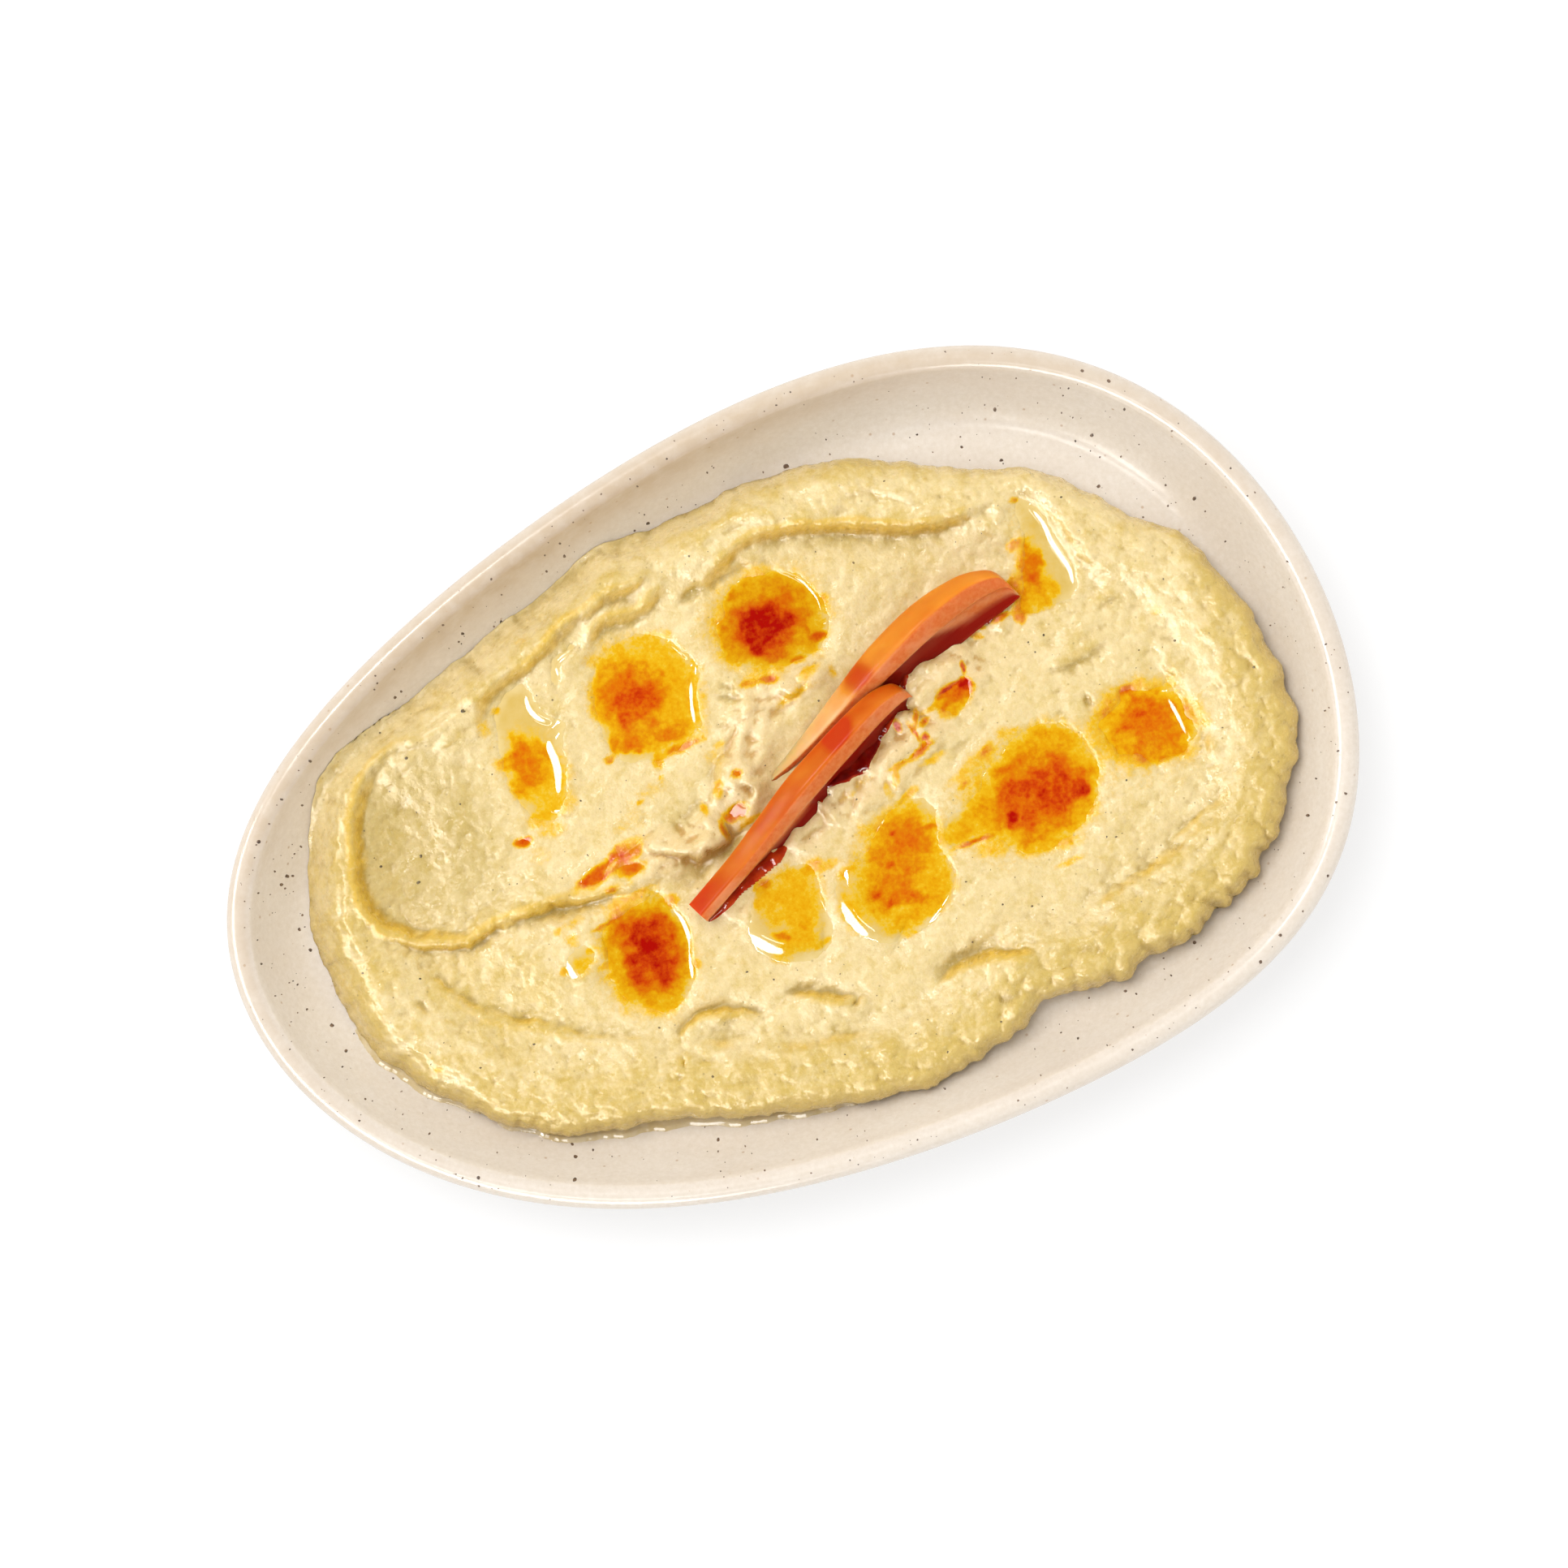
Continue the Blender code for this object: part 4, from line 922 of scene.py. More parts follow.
class Finish(Nodes):
    """A node-based material."""

    def __init__(self, name):
        self.material = bpy.data.materials.new(name)
        self.material.use_nodes = True
        super().__init__(self.material.node_tree)
        self.place = self.node("TexCoord", "Object", {})

    def shade(self, **inputs):
        """Give the shader these inputs, with _ for a space in their names."""
        shader = self.tree.nodes["Principled BSDF"]
        for key, value in inputs.items():
            self.put(shader.inputs[key.replace("_", " ")], value)

    def attribute(self, name):
        return self.node("Attribute", "Fac", {}, attribute_name=name)

    def noise(self, size_mm, detail=3.0, roughness=0.55, stretch=None):
        """Noise with features about this many millimetres across."""
        place = self.place
        if stretch:
            place = self.node("Mapping", "Vector", {"Vector": place, "Scale": stretch})
        return self.node("TexNoise", "Fac", {"Vector": place, "Scale": 1000.0 / size_mm,
                                             "Detail": detail, "Roughness": roughness})

    def spots(self, size_mm, width, strength):
        """The strength inside sparse round spots, on a grid of about this many millimetres."""
        distance = self.node("TexVoronoi", "Distance", {"Vector": self.place, "Scale": 1000.0 / size_mm})
        return self.maths("MULTIPLY", self.spread(distance, width, width * 0.5), strength)

    def spread(self, value, low, high, to_low=0.0, to_high=1.0):
        """The range of a value from low to high, moved to another range."""
        return self.node("MapRange", "Result", {"Value": value, "From Min": low, "From Max": high,
                                                "To Min": to_low, "To Max": to_high})

    def maths(self, operation, first, second):
        return self.node("Math", "Value", {0: first, 1: second}, operation=operation)

    def mix(self, share, first, second, blend="MIX"):
        """A colour between two colours, each a tuple or a socket."""
        # inputs 6 and 7 and output 2 of this node are its colours
        return self.node("Mix", 2, {"Factor": share, 6: first, 7: second}, data_type="RGBA", blend_type=blend)

    def ramp(self, value, stops):
        """A colour that runs through these (place, colour) stops."""
        made = self.tree.nodes.new("ShaderNodeValToRGB")
        elements = made.color_ramp.elements
        while len(elements) < len(stops):
            elements.new(0.5)
        for element, (place, colour) in zip(elements, stops):
            element.position = place
            element.color = (*colour, 1)
        self.put(made.inputs["Fac"], value)
        return made.outputs["Color"]

    def bump(self, height, depth_mm, strength):
        self.shade(Normal=self.node("Bump", "Normal", {"Distance": depth_mm * MM, "Strength": strength,
                                                       "Height": height}))

    def stained(self, bare):
        """The colour of bare hummus or clear oil with the paprika over it."""
        flakes = self.spread(self.noise(0.9, 4.0, 0.65), 0.3, 0.7, -0.09, 0.09)
        tone = self.maths("ADD", self.attribute("tone"), flakes)
        return self.mix(self.spread(tone, 0.08, 0.34), bare, self.ramp(tone, PAPRIKA_STOPS))


def hummus_finish():
    finish = Finish("hummus_paste")
    cream = (0.700, 0.550, 0.268)
    yellow = (0.585, 0.422, 0.122)
    mustard = (0.70, 0.450, 0.058)
    hollow_shade_grey = (0.505, 0.370, 0.118)
    pinkish = (0.74, 0.56, 0.290)
    blotch = finish.noise(6.0, 4.0, 0.6)
    mottle = finish.noise(2.1, 4.0, 0.65)
    # yellower along folds, slopes and the near side, where it is partly painted shade, and in random blotches
    yellowness = finish.maths("ADD", finish.attribute("fold_and_shade"), finish.spread(blotch, 0.35, 0.68, -0.26, 0.36))
    yellowness = finish.maths("ADD", yellowness, finish.spread(mottle, 0.32, 0.68, -0.28, 0.32))
    base = finish.mix(finish.spread(yellowness, 0.0, 0.75), cream, yellow)
    base = finish.mix(finish.attribute("torn"), base, pinkish)
    # painted shade: grey in hollows and over the scoop
    base = finish.mix(finish.attribute("hollow"), base, hollow_shade_grey)
    # painted shade: mustard on steep faces and along crest tops
    base = finish.mix(finish.spread(finish.attribute("steep_shade"), 0.16, 0.55), base, mustard)
    # painted shade in the fine hollows between the grains, and small patches darker or paler at random
    crevice_shade_and_mottle = finish.maths("MULTIPLY", finish.attribute("pit_shade"), 0.75)
    crumb = finish.noise(1.0, 4.0, 0.62)
    crevice_shade_and_mottle = finish.maths("ADD", crevice_shade_and_mottle, finish.spread(crumb, 0.30, 0.52, 0.22, 0.0))
    crevice_shade_and_mottle = finish.maths("ADD", crevice_shade_and_mottle, finish.spread(mottle, 0.28, 0.46, 0.20, 0.0))
    base = finish.mix(crevice_shade_and_mottle, base, (0.72, 0.66, 0.50), "MULTIPLY")
    base = finish.mix(finish.spread(crumb, 0.55, 0.75, 0.0, 0.30), base, (0.84, 0.73, 0.46))
    # brown in the crevices of the torn strips: partly oil soaked in, partly painted shade
    soaked_oil_and_shade = finish.maths("MULTIPLY", finish.attribute("torn"),
                          finish.spread(finish.attribute("pit_shade"), 0.30, 1.0, 0.0, 0.75))
    base = finish.mix(soaked_oil_and_shade, base, (0.56, 0.290, 0.075))
    colour = finish.mix(finish.spots(3.1, 0.10, 0.5), finish.stained(base), (0.30, 0.20, 0.06))
    finish.bump(finish.noise(1.25, 4.0, 0.55), 0.26, 0.8)
    finish.shade(Base_Color=colour,
                 Roughness=finish.spread(finish.noise(2.6, 3.0), 0.35, 0.65, 0.15, 0.46),
                 Specular_IOR_Level=0.5, Subsurface_Weight=0.10, Subsurface_Radius=(1.0, 0.62, 0.22),
                 Subsurface_Scale=1.2 * MM)
    return finish.material


def oily(finish, colour):
    """Finish a material as wet, smooth oil of this colour."""
    finish.shade(Base_Color=colour, Roughness=finish.spread(finish.noise(6.0, 2.0), 0.3, 0.7, 0.05, 0.09),
                 Specular_IOR_Level=0.8, IOR=1.47)
    return finish.material


def paprika_oil_finish():
    finish = Finish("paprika_oil")
    cloud = finish.spread(finish.noise(4.0, 4.0, 0.6), 0.3, 0.7)
    clear = finish.mix(cloud, (0.660, 0.485, 0.180), (0.610, 0.420, 0.110))
    shallow = finish.mix(cloud, (0.715, 0.558, 0.262), (0.660, 0.488, 0.175))
    clear = finish.mix(finish.attribute("depth"), shallow, clear)
    colour = finish.mix(finish.attribute("deep_and_shaded"), finish.stained(clear), (0.78, 0.74, 0.45), "MULTIPLY")
    return oily(finish, colour)


def edge_oil_finish():
    finish = Finish("edge_oil")
    cloud = finish.spread(finish.noise(3.0, 3.0), 0.35, 0.65)
    return oily(finish, finish.mix(cloud, (0.56, 0.43, 0.22), (0.66, 0.55, 0.36)))


def juice_finish():
    finish = Finish("tomato_juice_and_shade")
    cloud = finish.spread(finish.noise(2.5, 3.0), 0.35, 0.65)
    thin = finish.mix(cloud, (0.36, 0.016, 0.002), (0.50, 0.050, 0.006))
    # thick juice is darker, and under the wedges this dark is partly painted shadow
    thick = finish.mix(cloud, (0.10, 0.001, 0.0005), (0.21, 0.003, 0.001))
    finish.shade(Base_Color=finish.mix(finish.attribute("deep_and_shaded"), thin, thick),
                 Roughness=finish.spread(finish.noise(2.0, 2.0), 0.3, 0.7, 0.06, 0.16))
    return finish.material


def tomato_finish():
    finish = Finish("tomato_flesh_and_skin")
    skin = finish.attribute("skin")
    streak = finish.noise(5.0, 3.0, 0.5, stretch=(0.35, 0.8, 1.0))
    fibre = finish.noise(1.0, 3.0, 0.6)
    wet = finish.noise(7.0, 3.0, 0.5, stretch=(0.6, 0.9, 1.0))
    flesh = finish.mix(finish.spread(fibre, 0.3, 0.7), (0.56, 0.130, 0.026), (0.62, 0.200, 0.060))
    # painted sheen: paler pink patches stand in for wet reflections on the cut faces
    flesh = finish.mix(finish.spread(wet, 0.48, 0.66, 0.0, 0.55), flesh, (0.68, 0.310, 0.150))
    # dark towards the core of the cut faces: partly juice, partly painted shade
    flesh = finish.mix(finish.attribute("deep_and_shaded"), flesh, (0.24, 0.008, 0.003))
    redness = finish.maths("ADD", finish.attribute("ripe"), finish.spread(streak, 0.35, 0.65, -0.15, 0.15))
    peel = finish.mix(finish.spread(redness, 0.0, 1.0), (0.64, 0.235, 0.020), (0.50, 0.085, 0.003))
    peel = finish.mix(finish.spread(redness, 0.0, -0.5), peel, (0.72, 0.400, 0.150))
    peel = finish.mix(finish.spread(redness, 1.0, 1.5), peel, (0.48, 0.040, 0.004))
    finish.bump(finish.noise(1.2, 3.0), 0.05, 0.5)
    finish.shade(Base_Color=finish.mix(skin, flesh, peel),
                 Roughness=finish.spread(skin, 0.0, 1.0, 0.22, 0.28),
                 Specular_IOR_Level=0.15, Subsurface_Weight=0.75, Subsurface_Radius=(1.0, 0.40, 0.16),
                 Subsurface_Scale=5.0 * MM)
    return finish.material


def glaze_finish():
    finish = Finish("dish_glaze")
    cloud = finish.noise(22.0, 4.0, 0.55)
    grit = finish.noise(1.1, 4.0, 0.7)
    base = finish.mix(finish.spread(cloud, 0.3, 0.7), (0.724, 0.654, 0.577), (0.760, 0.702, 0.632))
    base = finish.mix(finish.spread(grit, 0.3, 0.75, 0.0, 0.42), base, (0.56, 0.47, 0.36))
    uneven = finish.spread(finish.noise(3.5, 3.0), 0.3, 0.6, 0.75, 1.0)
    # brown of thin glaze on the lip, with painted shade on its far side and on the wall below it
    base = finish.mix(finish.maths("MULTIPLY", finish.attribute("lip"), uneven), base, (0.515, 0.398, 0.276))
    base = finish.mix(finish.spots(4.6, 0.085, 0.60), base, (0.42, 0.27, 0.16))
    base = finish.mix(finish.spots(2.7, 0.06, 0.50), base, (0.50, 0.34, 0.22))
    finish.bump(finish.noise(1.6, 4.0, 0.6), 0.05, 0.7)
    finish.shade(Base_Color=base, Roughness=finish.spread(finish.noise(9.0, 4.0), 0.3, 0.7, 0.18, 0.27),
                 Specular_IOR_Level=0.5)
    return finish.material


def speck_finish(name, dark, pale):
    finish = Finish(name)
    finish.shade(Base_Color=finish.mix(finish.spread(finish.noise(0.8, 2.0), 0.35, 0.65), dark, pale),
                 Roughness=finish.spread(finish.noise(1.5, 2.0), 0.3, 0.7, 0.35, 0.5))
    return finish.material


# ---- dish ----------------------------------------------------------------------------
def lip_tint_and_shade(inset, angle, outside):
    """How brown the glaze is: thin glaze all round the lip, and painted shade that grows towards the far side
    and runs down the wall below it.
    """
    if outside:
        inset = 0.0
    facing = np.cos(angle - math.radians(LIP_DARKEST))
    # the whole lip browns where the glaze is thin; more towards the far side is painted shade
    on_lip = np.clip(0.45 + 0.48 * facing, 0.22, 1) * (0.68 + 0.32 * ease(0.8, 2.4, inset))
    # painted shade on the wall below the far side of the rim
    painted_wall_shade = np.clip(facing, 0, 1) ** 3 * (1 - ease(5.0, 11.0, inset))
    down = ease(3.5, 5.0, inset)
    return on_lip * (1 - down) + painted_wall_shade * down


def dish_profile():
    """(inset, height, whether under the lip's outside) from the floor to the foot."""
    top_inset, top_height = wall_top()
    rows = []
    for step in range(WALL_STEPS):
        inset = top_inset + WALL_RUN * (1 - step / WALL_STEPS)
        rows.append((inset, float(inner_height(inset)), False))
    for step in range(LIP_STEPS + 1):
        turn = math.pi / 2 - WALL_SLOPE + math.pi * step / LIP_STEPS
        rows.append((LIP + LIP * math.cos(turn), RIM_HEIGHT - LIP + LIP * math.sin(turn), turn > math.pi))
    steepest = WALL_CURVE * (top_height - FLOOR_HEIGHT) / WALL_RUN
    for step in range(1, OUTER_STEPS + 1):
        share = step / OUTER_STEPS
        slope = math.atan(steepest * max(1 - share, 0) ** (WALL_CURVE - 1))
        inset = top_inset + WALL_RUN * share
        height = float(inner_height(inset))
        rows.append((inset - WALL * math.sin(slope), height - WALL * math.cos(slope), True))
    rows.append((FOOT_INSET - FOOT_ROUND, rows[-1][1], True))
    turns = [math.pi / 2 * step / FOOT_STEPS for step in range(FOOT_STEPS + 1)]
    for turn in turns:
        rows.append((FOOT_INSET + FOOT_ROUND - FOOT_ROUND * math.cos(turn) + 0.2,
                     FOOT_ROUND - FOOT_ROUND * math.sin(turn), True))
    for turn in turns:
        rows.append((FOOT_INSET + FOOT_WIDTH + FOOT_ROUND * math.sin(turn),
                     FOOT_ROUND - FOOT_ROUND * math.cos(turn), True))
    rows.append((FOOT_INSET + FOOT_WIDTH + 2 * FOOT_ROUND, FOOT_RECESS, True))
    return rows


def make_dish():
    angle = around(DISH_SIDES)
    profile = dish_profile()
    rings, lips, faces = [], [], []
    for inset, height, outside in profile:
        ring = inset_egg(angle, np.full(angle.shape, inset))
        rings.append(np.column_stack([ring, np.full(DISH_SIDES, height)]))
        lips.append(lip_tint_and_shade(inset, angle, outside))
    last = len(profile) - 1
    for row in range(last):
        faces += ring_faces(row * DISH_SIDES, (row + 1) * DISH_SIDES, DISH_SIDES)
    # floor inside and recess underneath, drawn in to a small cap
    for first_row, height, upwards in ((0, FLOOR_HEIGHT, True), (last, FOOT_RECESS, False)):
        outer = rings[first_row][:, :2]
        before = first_row * DISH_SIDES
        for share in (0.12, 0.3, 0.55, 0.8, 0.97):
            here = len(rings) * DISH_SIDES
            inner = outer + (np.array(EGG_MIDDLE) - outer) * share
            rings.append(np.column_stack([inner, np.full(DISH_SIDES, height)]))
            lips.append(np.zeros(DISH_SIDES))
            faces += ring_faces(here, before, DISH_SIDES) if upwards else ring_faces(before, here, DISH_SIDES)
            before = here
        cap = [before + i for i in range(DISH_SIDES)]
        faces.append(cap if upwards else cap[::-1])
    piece = add_piece("stoneware_dish", np.vstack(rings), faces, glaze_finish(),
                      {"lip": np.concatenate(lips)})
    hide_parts("dish")


# ---- spread --------------------------------------------------------------------------
def spread_grid():
    """Points over the spread: a square grid pressed into its outline."""
    a, b = np.meshgrid(np.linspace(-1, 1, HUMMUS_LONG + 1), np.linspace(-1, 1, HUMMUS_ACROSS + 1))
    u = a * np.sqrt(1 - b ** 2 / 2)
    v = b * np.sqrt(1 - a ** 2 / 2)
    reach = 1 - (1 - np.clip(np.hypot(u, v), 0, 1)) ** HUMMUS_CLUSTER
    angle = np.arctan2(v, u)
    edge = inset_egg(angle, margin(angle))
    middle = np.array(EGG_MIDDLE)
    return middle + (edge - middle) * reach[..., None]


def blurred(values, width):
    """A grid of values smoothed over about this many cells."""
    reach = int(3 * width)
    offsets = np.arange(-reach, reach + 1)
    weights = np.exp(-(offsets / width) ** 2)
    weights /= weights.sum()
    for axis in (0, 1):
        pads = [(reach, reach) if k == axis else (0, 0) for k in (0, 1)]
        padded = np.pad(values, pads, mode="edge")
        cells = np.arange(values.shape[axis])
        values = sum(w * np.take(padded, cells + reach + o, axis=axis) for w, o in zip(weights, offsets))
    return values


def grid_normals(points):
    """Unit normals of a grid of points."""
    normal = np.cross(np.gradient(points, axis=1), np.gradient(points, axis=0))
    return normal / np.maximum(np.linalg.norm(normal, axis=-1, keepdims=True), 1e-9)


def sink_pools(flat, height, shores, levels):
    """Lower the spread under the pools and bank it up round them; returns where pools are."""
    in_pool = np.zeros(len(flat))
    for name, loop in shores.items():
        close = near_path(flat, loop, 4.5)
        beyond = outside_by(flat[close], loop)
        oil = oil_height(flat[close], np.minimum(beyond, 0), levels[name])
        floor = oil - 0.10 - 0.42 * np.clip(-beyond, 0, 3)
        bank = oil + 0.05 + 0.12 * ease(0, 1.5, beyond)
        share = ease(3.6, 0.2, beyond)
        height[close] = height[close] * (1 - share) + np.where(beyond < 0, floor, bank) * share
        in_pool[close] = np.maximum(in_pool[close], ease(0.4, -1.3, beyond))
    return in_pool


def spread_looks(flat, points, normals, from_edge, torn, smooth, in_pool):
    """What colours each point of the spread, from 0 to 1: see hummus_finish."""
    surface = points[..., 2]
    wide = (surface - blurred(surface, 8)).ravel()
    fine = (surface - blurred(surface, 2.2)).ravel()
    slope = 1 - np.clip(normals[..., 2].ravel(), 0, 1)
    near_side = ease(-0.50, 0.65, facing_share(flat, 287))
    # yellow where the spread rises, slopes or makes up the border, most on the near side; on slopes and on the
    # near side, which faces away from the key lamp, this yellow is painted shade
    fold_and_shade = 0.50 * ease(0.15, 1.3, wide) + 0.25 * ease(0.05, 0.4, fine)
    fold_and_shade = fold_and_shade + (0.35 + 0.8 * near_side) * slope
    fold_and_shade = fold_and_shade + (0.88 * near_side - 0.14) * ease(16, 6, from_edge) - 0.25 * smooth
    for patch in YELLOW_AND_SHADE_PATCHES:
        fold_and_shade += blob(flat, *patch)
    # painted shade: mustard on steep faces away from the edge, as the paste looks in its own shade, and along
    # the top of each crest
    steep_shade = 1 - np.clip(grid_normals(points)[..., 2], 0, 1)
    steep_shade = blurred(steep_shade, 1.2).ravel() * (1 - 0.6 * torn)
    steep_shade *= ease(1.5, 5.0, from_edge) * near_side + ease(5, 11, from_edge) * (1 - near_side)
    bent = flat + 0.7 * wander(flat, *SLOW_WANDER)
    # painted shade: grey in broad hollows of the spread and over the scoop
    hollow = np.clip(0.9 * ease(0.1, 1.4, -wide), 0, 0.85) * (1 - in_pool)
    return {
        "fold_and_shade": np.clip(fold_and_shade, 0, 1) * (1 - 0.7 * torn),
        "hollow": np.maximum(hollow, blob(flat, *SCOOP_SHADE)),
        # painted shade in the fine hollows
        "pit_shade": ease(0.02, 0.26, -fine) * (1 - in_pool),
        "steep_shade": np.maximum(steep_shade, 0.45 * crest_lines(bent, CRESTS)),
        "torn": 0.7 * torn,
        "tone": tone_at(flat),
    }


def spread_skirt(points):
    """Rows of points under the edge of the spread, and all faces of the closed body."""
    index = np.arange(points.shape[0] * points.shape[1]).reshape(points.shape[:2])
    faces = grid_quads(index).reshape(-1, 4).tolist()
    before = [int(i) for i in (*index[0, :-1], *index[:-1, -1], *index[-1, 1:][::-1], *index[1:, 0][::-1])]
    edge = points.reshape(-1, 3)[before][:, :2]
    rows = []
    count = len(before)
    start = index.size
    # the outermost row touches the dish, the others keep their gap from it
    for share, lower in ((0.003, GAP - 0.03), (0.03, 0), (0.07, 0), (0.13, 0), (0.19, 0)):
        ring = edge + (np.array(EGG_MIDDLE) - edge) * share
        rows.append(np.column_stack([ring, under_hummus(ring) - lower]))
        here = list(range(start, start + count))
        faces += [(before[i], here[i], here[(i + 1) % count], before[(i + 1) % count]) for i in range(count)]
        before, start = here, start + count
    faces.append(before[::-1])
    return np.vstack(rows), faces


def make_hummus(shores, levels):
    """The spread; returns its points from above and their heights."""
    grid = spread_grid()
    flat = grid.reshape(-1, 2)
    height = natural_height(flat)
    in_pool = sink_pools(flat, height, shores, levels)
    from_edge = distance_to(flat, EDGE)
    torn = torn_share(flat)
    # smooth, creamy middle of the spread
    x, y = flat[:, 0], flat[:, 1]
    creamy = ease(10, 20, from_edge) * ease(-62, -40, x) * ease(60, 42, x)
    smooth = np.clip(0.72 * creamy + 0.35 * swell(x, y, 13, 101) - 0.5 * torn, 0, 1)
    smooth = np.maximum(smooth, in_pool)
    base = np.dstack([grid, height.reshape(grid.shape[:2])])
    normals = grid_normals(base)
    lift = (grain(flat, smooth) * ease(0, 0.9, from_edge + 0.45)).reshape(grid.shape[:2])
    points = base + normals * lift[..., None]
    looks = spread_looks(flat, points, normals, from_edge, torn, smooth, in_pool)
    skirt, faces = spread_skirt(points)
    pad = np.zeros(len(skirt))
    piece = add_piece("hummus_spread", np.vstack([points.reshape(-1, 3), skirt]), faces, hummus_finish(),
                      {key: np.concatenate([values, pad]) for key, values in looks.items()})
    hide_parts("hummus")
    return flat, points[..., 2].ravel()


# ---- oil and juice -------------------------------------------------------------------
def film_patch(loop, height_at, cell_size):
    """A fine grid over a loop and a little beyond: points, how far outside they lie, quads."""
    low, high = loop.min(0) - 1.0, loop.max(0) + 1.0
    grid = np.stack(np.meshgrid(np.arange(low[0], high[0], cell_size),
                                np.arange(low[1], high[1], cell_size)), axis=-1)
    flat = grid.reshape(-1, 2)
    beyond = outside_by(flat, loop)
    kept = (beyond < 1.7 * cell_size).reshape(grid.shape[:2])
    cell = kept[:-1, :-1] & kept[:-1, 1:] & kept[1:, 1:] & kept[1:, :-1]
    corners = grid_quads(np.arange(len(flat)).reshape(kept.shape))[cell]
    used, renumbered = np.unique(corners, return_inverse=True)
    top = np.column_stack([flat[used], height_at(flat[used], beyond[used])])
    return top, beyond[used], renumbered.reshape(-1, 4)


def open_sides(quads):
    """The sides that belong to one quad only, each from corner to corner."""
    sides = set()
    for quad in quads:
        for a, b in zip(quad, np.roll(quad, -1)):
            if (b, a) in sides:
                sides.remove((b, a))
            else:
                sides.add((a, b))
    return sorted(sides)


def make_film(name, patches, material, tone=None, cell_size=FILM_CELL):
    """A thin closed body of liquid from patches: a loop, its height and how dark it is.

    The height takes points and how far they lie outside the loop.
    """
    points, faces, looks = [], [], []
    total = 0
    for loop, height_at, darkness in patches:
        top, beyond, quads = film_patch(loop, height_at, cell_size)
        spots = top[:, :2]
        count = len(top)
        faces += (quads + total).tolist()
        faces += (quads[:, ::-1] + total + count).tolist()
        faces += [(int(b) + total, int(a) + total, int(a) + total + count, int(b) + total + count)
                  for a, b in open_sides(quads)]
        points += [top, top - np.array([0, 0, FILM_DEPTH])]
        uneven = 0.8 * swell(spots[:, 0], spots[:, 1], 3, 204)
        looks += [(tone_at(spots) if tone is None else np.full(count, tone),
                   darkness * ease(0.2, -1.2, beyond), ease(-0.4, -2.6, beyond + uneven))] * 2
        total += 2 * count
    attributes = {key: np.concatenate(values) for key, values in zip(("tone", "deep_and_shaded", "depth"), zip(*looks))}
    add_piece(name, np.vstack(points), faces, material, attributes)


def make_pools(shores, levels):
    patches = [(loop, lambda spots, beyond, key=name: oil_height(spots, beyond, levels[key]),
                DEEP_POOLS.get(name, 0.15))
               for name, loop in shores.items()]
    make_film("paprika_oil_pools", patches, paprika_oil_finish())


def edge_oil_height(spots, beyond):
    """A clear film on the dish, with a rim that leans out enough to mirror the strip lamp."""
    out = np.clip(outside_by(spots, EDGE), -0.3, None)
    inset = distance_to(spots, RIM)
    wall_slope = inner_height(inset - 0.5) - inner_height(inset + 0.5)
    rim = (wall_slope + 0.26) * np.clip(-beyond, 0, 1.0)
    return under_hummus(spots) - GAP + rim + 0.3 * np.exp(-np.clip(out, 0, None) / 0.3) - 0.03


def make_edge_oil():
    patches = []
    for first, last, width in EDGE_OIL:
        angle = np.radians(np.linspace(first, last, EDGE_OIL_POINTS))
        taper = fade_ends(np.linspace(0.02, 0.98, EDGE_OIL_POINTS))
        wobble = 0.25 * swell(angle * 60, 0 * angle, 3.0, 211)
        outer = inset_egg(angle, margin(angle) - (width + wobble) * taper)
        inner = inset_egg(angle, margin(angle) + 0.9)
        patches.append((np.vstack([outer, inner[::-1]]), edge_oil_height, 0.0))
    make_film("edge_oil", patches, edge_oil_finish(), 0.0, FINE_CELL)


def juice_height(spots, beyond):
    """Juice stands up a little over the spread."""
    return natural_height(spots) + 0.16 + 0.42 * ease(0.1, -1.2, beyond) - 0.9 * np.clip(beyond, 0, None)


def make_juice():
    patches = [(even_loop(loop, JUICE_POINTS), juice_height, THIN_JUICE.get(name, 1.2))
               for name, loop in JUICE.items()]
    make_film("tomato_juice_and_shade", patches, juice_finish())


# ---- tomato --------------------------------------------------------------------------
def wedge_profile():
    """(share of the radius, share of the turn, side): lower face, skin, then upper face."""
    profile = [(step / FACE_STEPS, 0.0, "low") for step in range(FACE_STEPS)]
    profile += [(1.0, step / SKIN_STEPS, "skin") for step in range(SKIN_STEPS + 1)]
    return profile + [(step / FACE_STEPS, 1.0, "high") for step in range(FACE_STEPS - 1, 0, -1)]


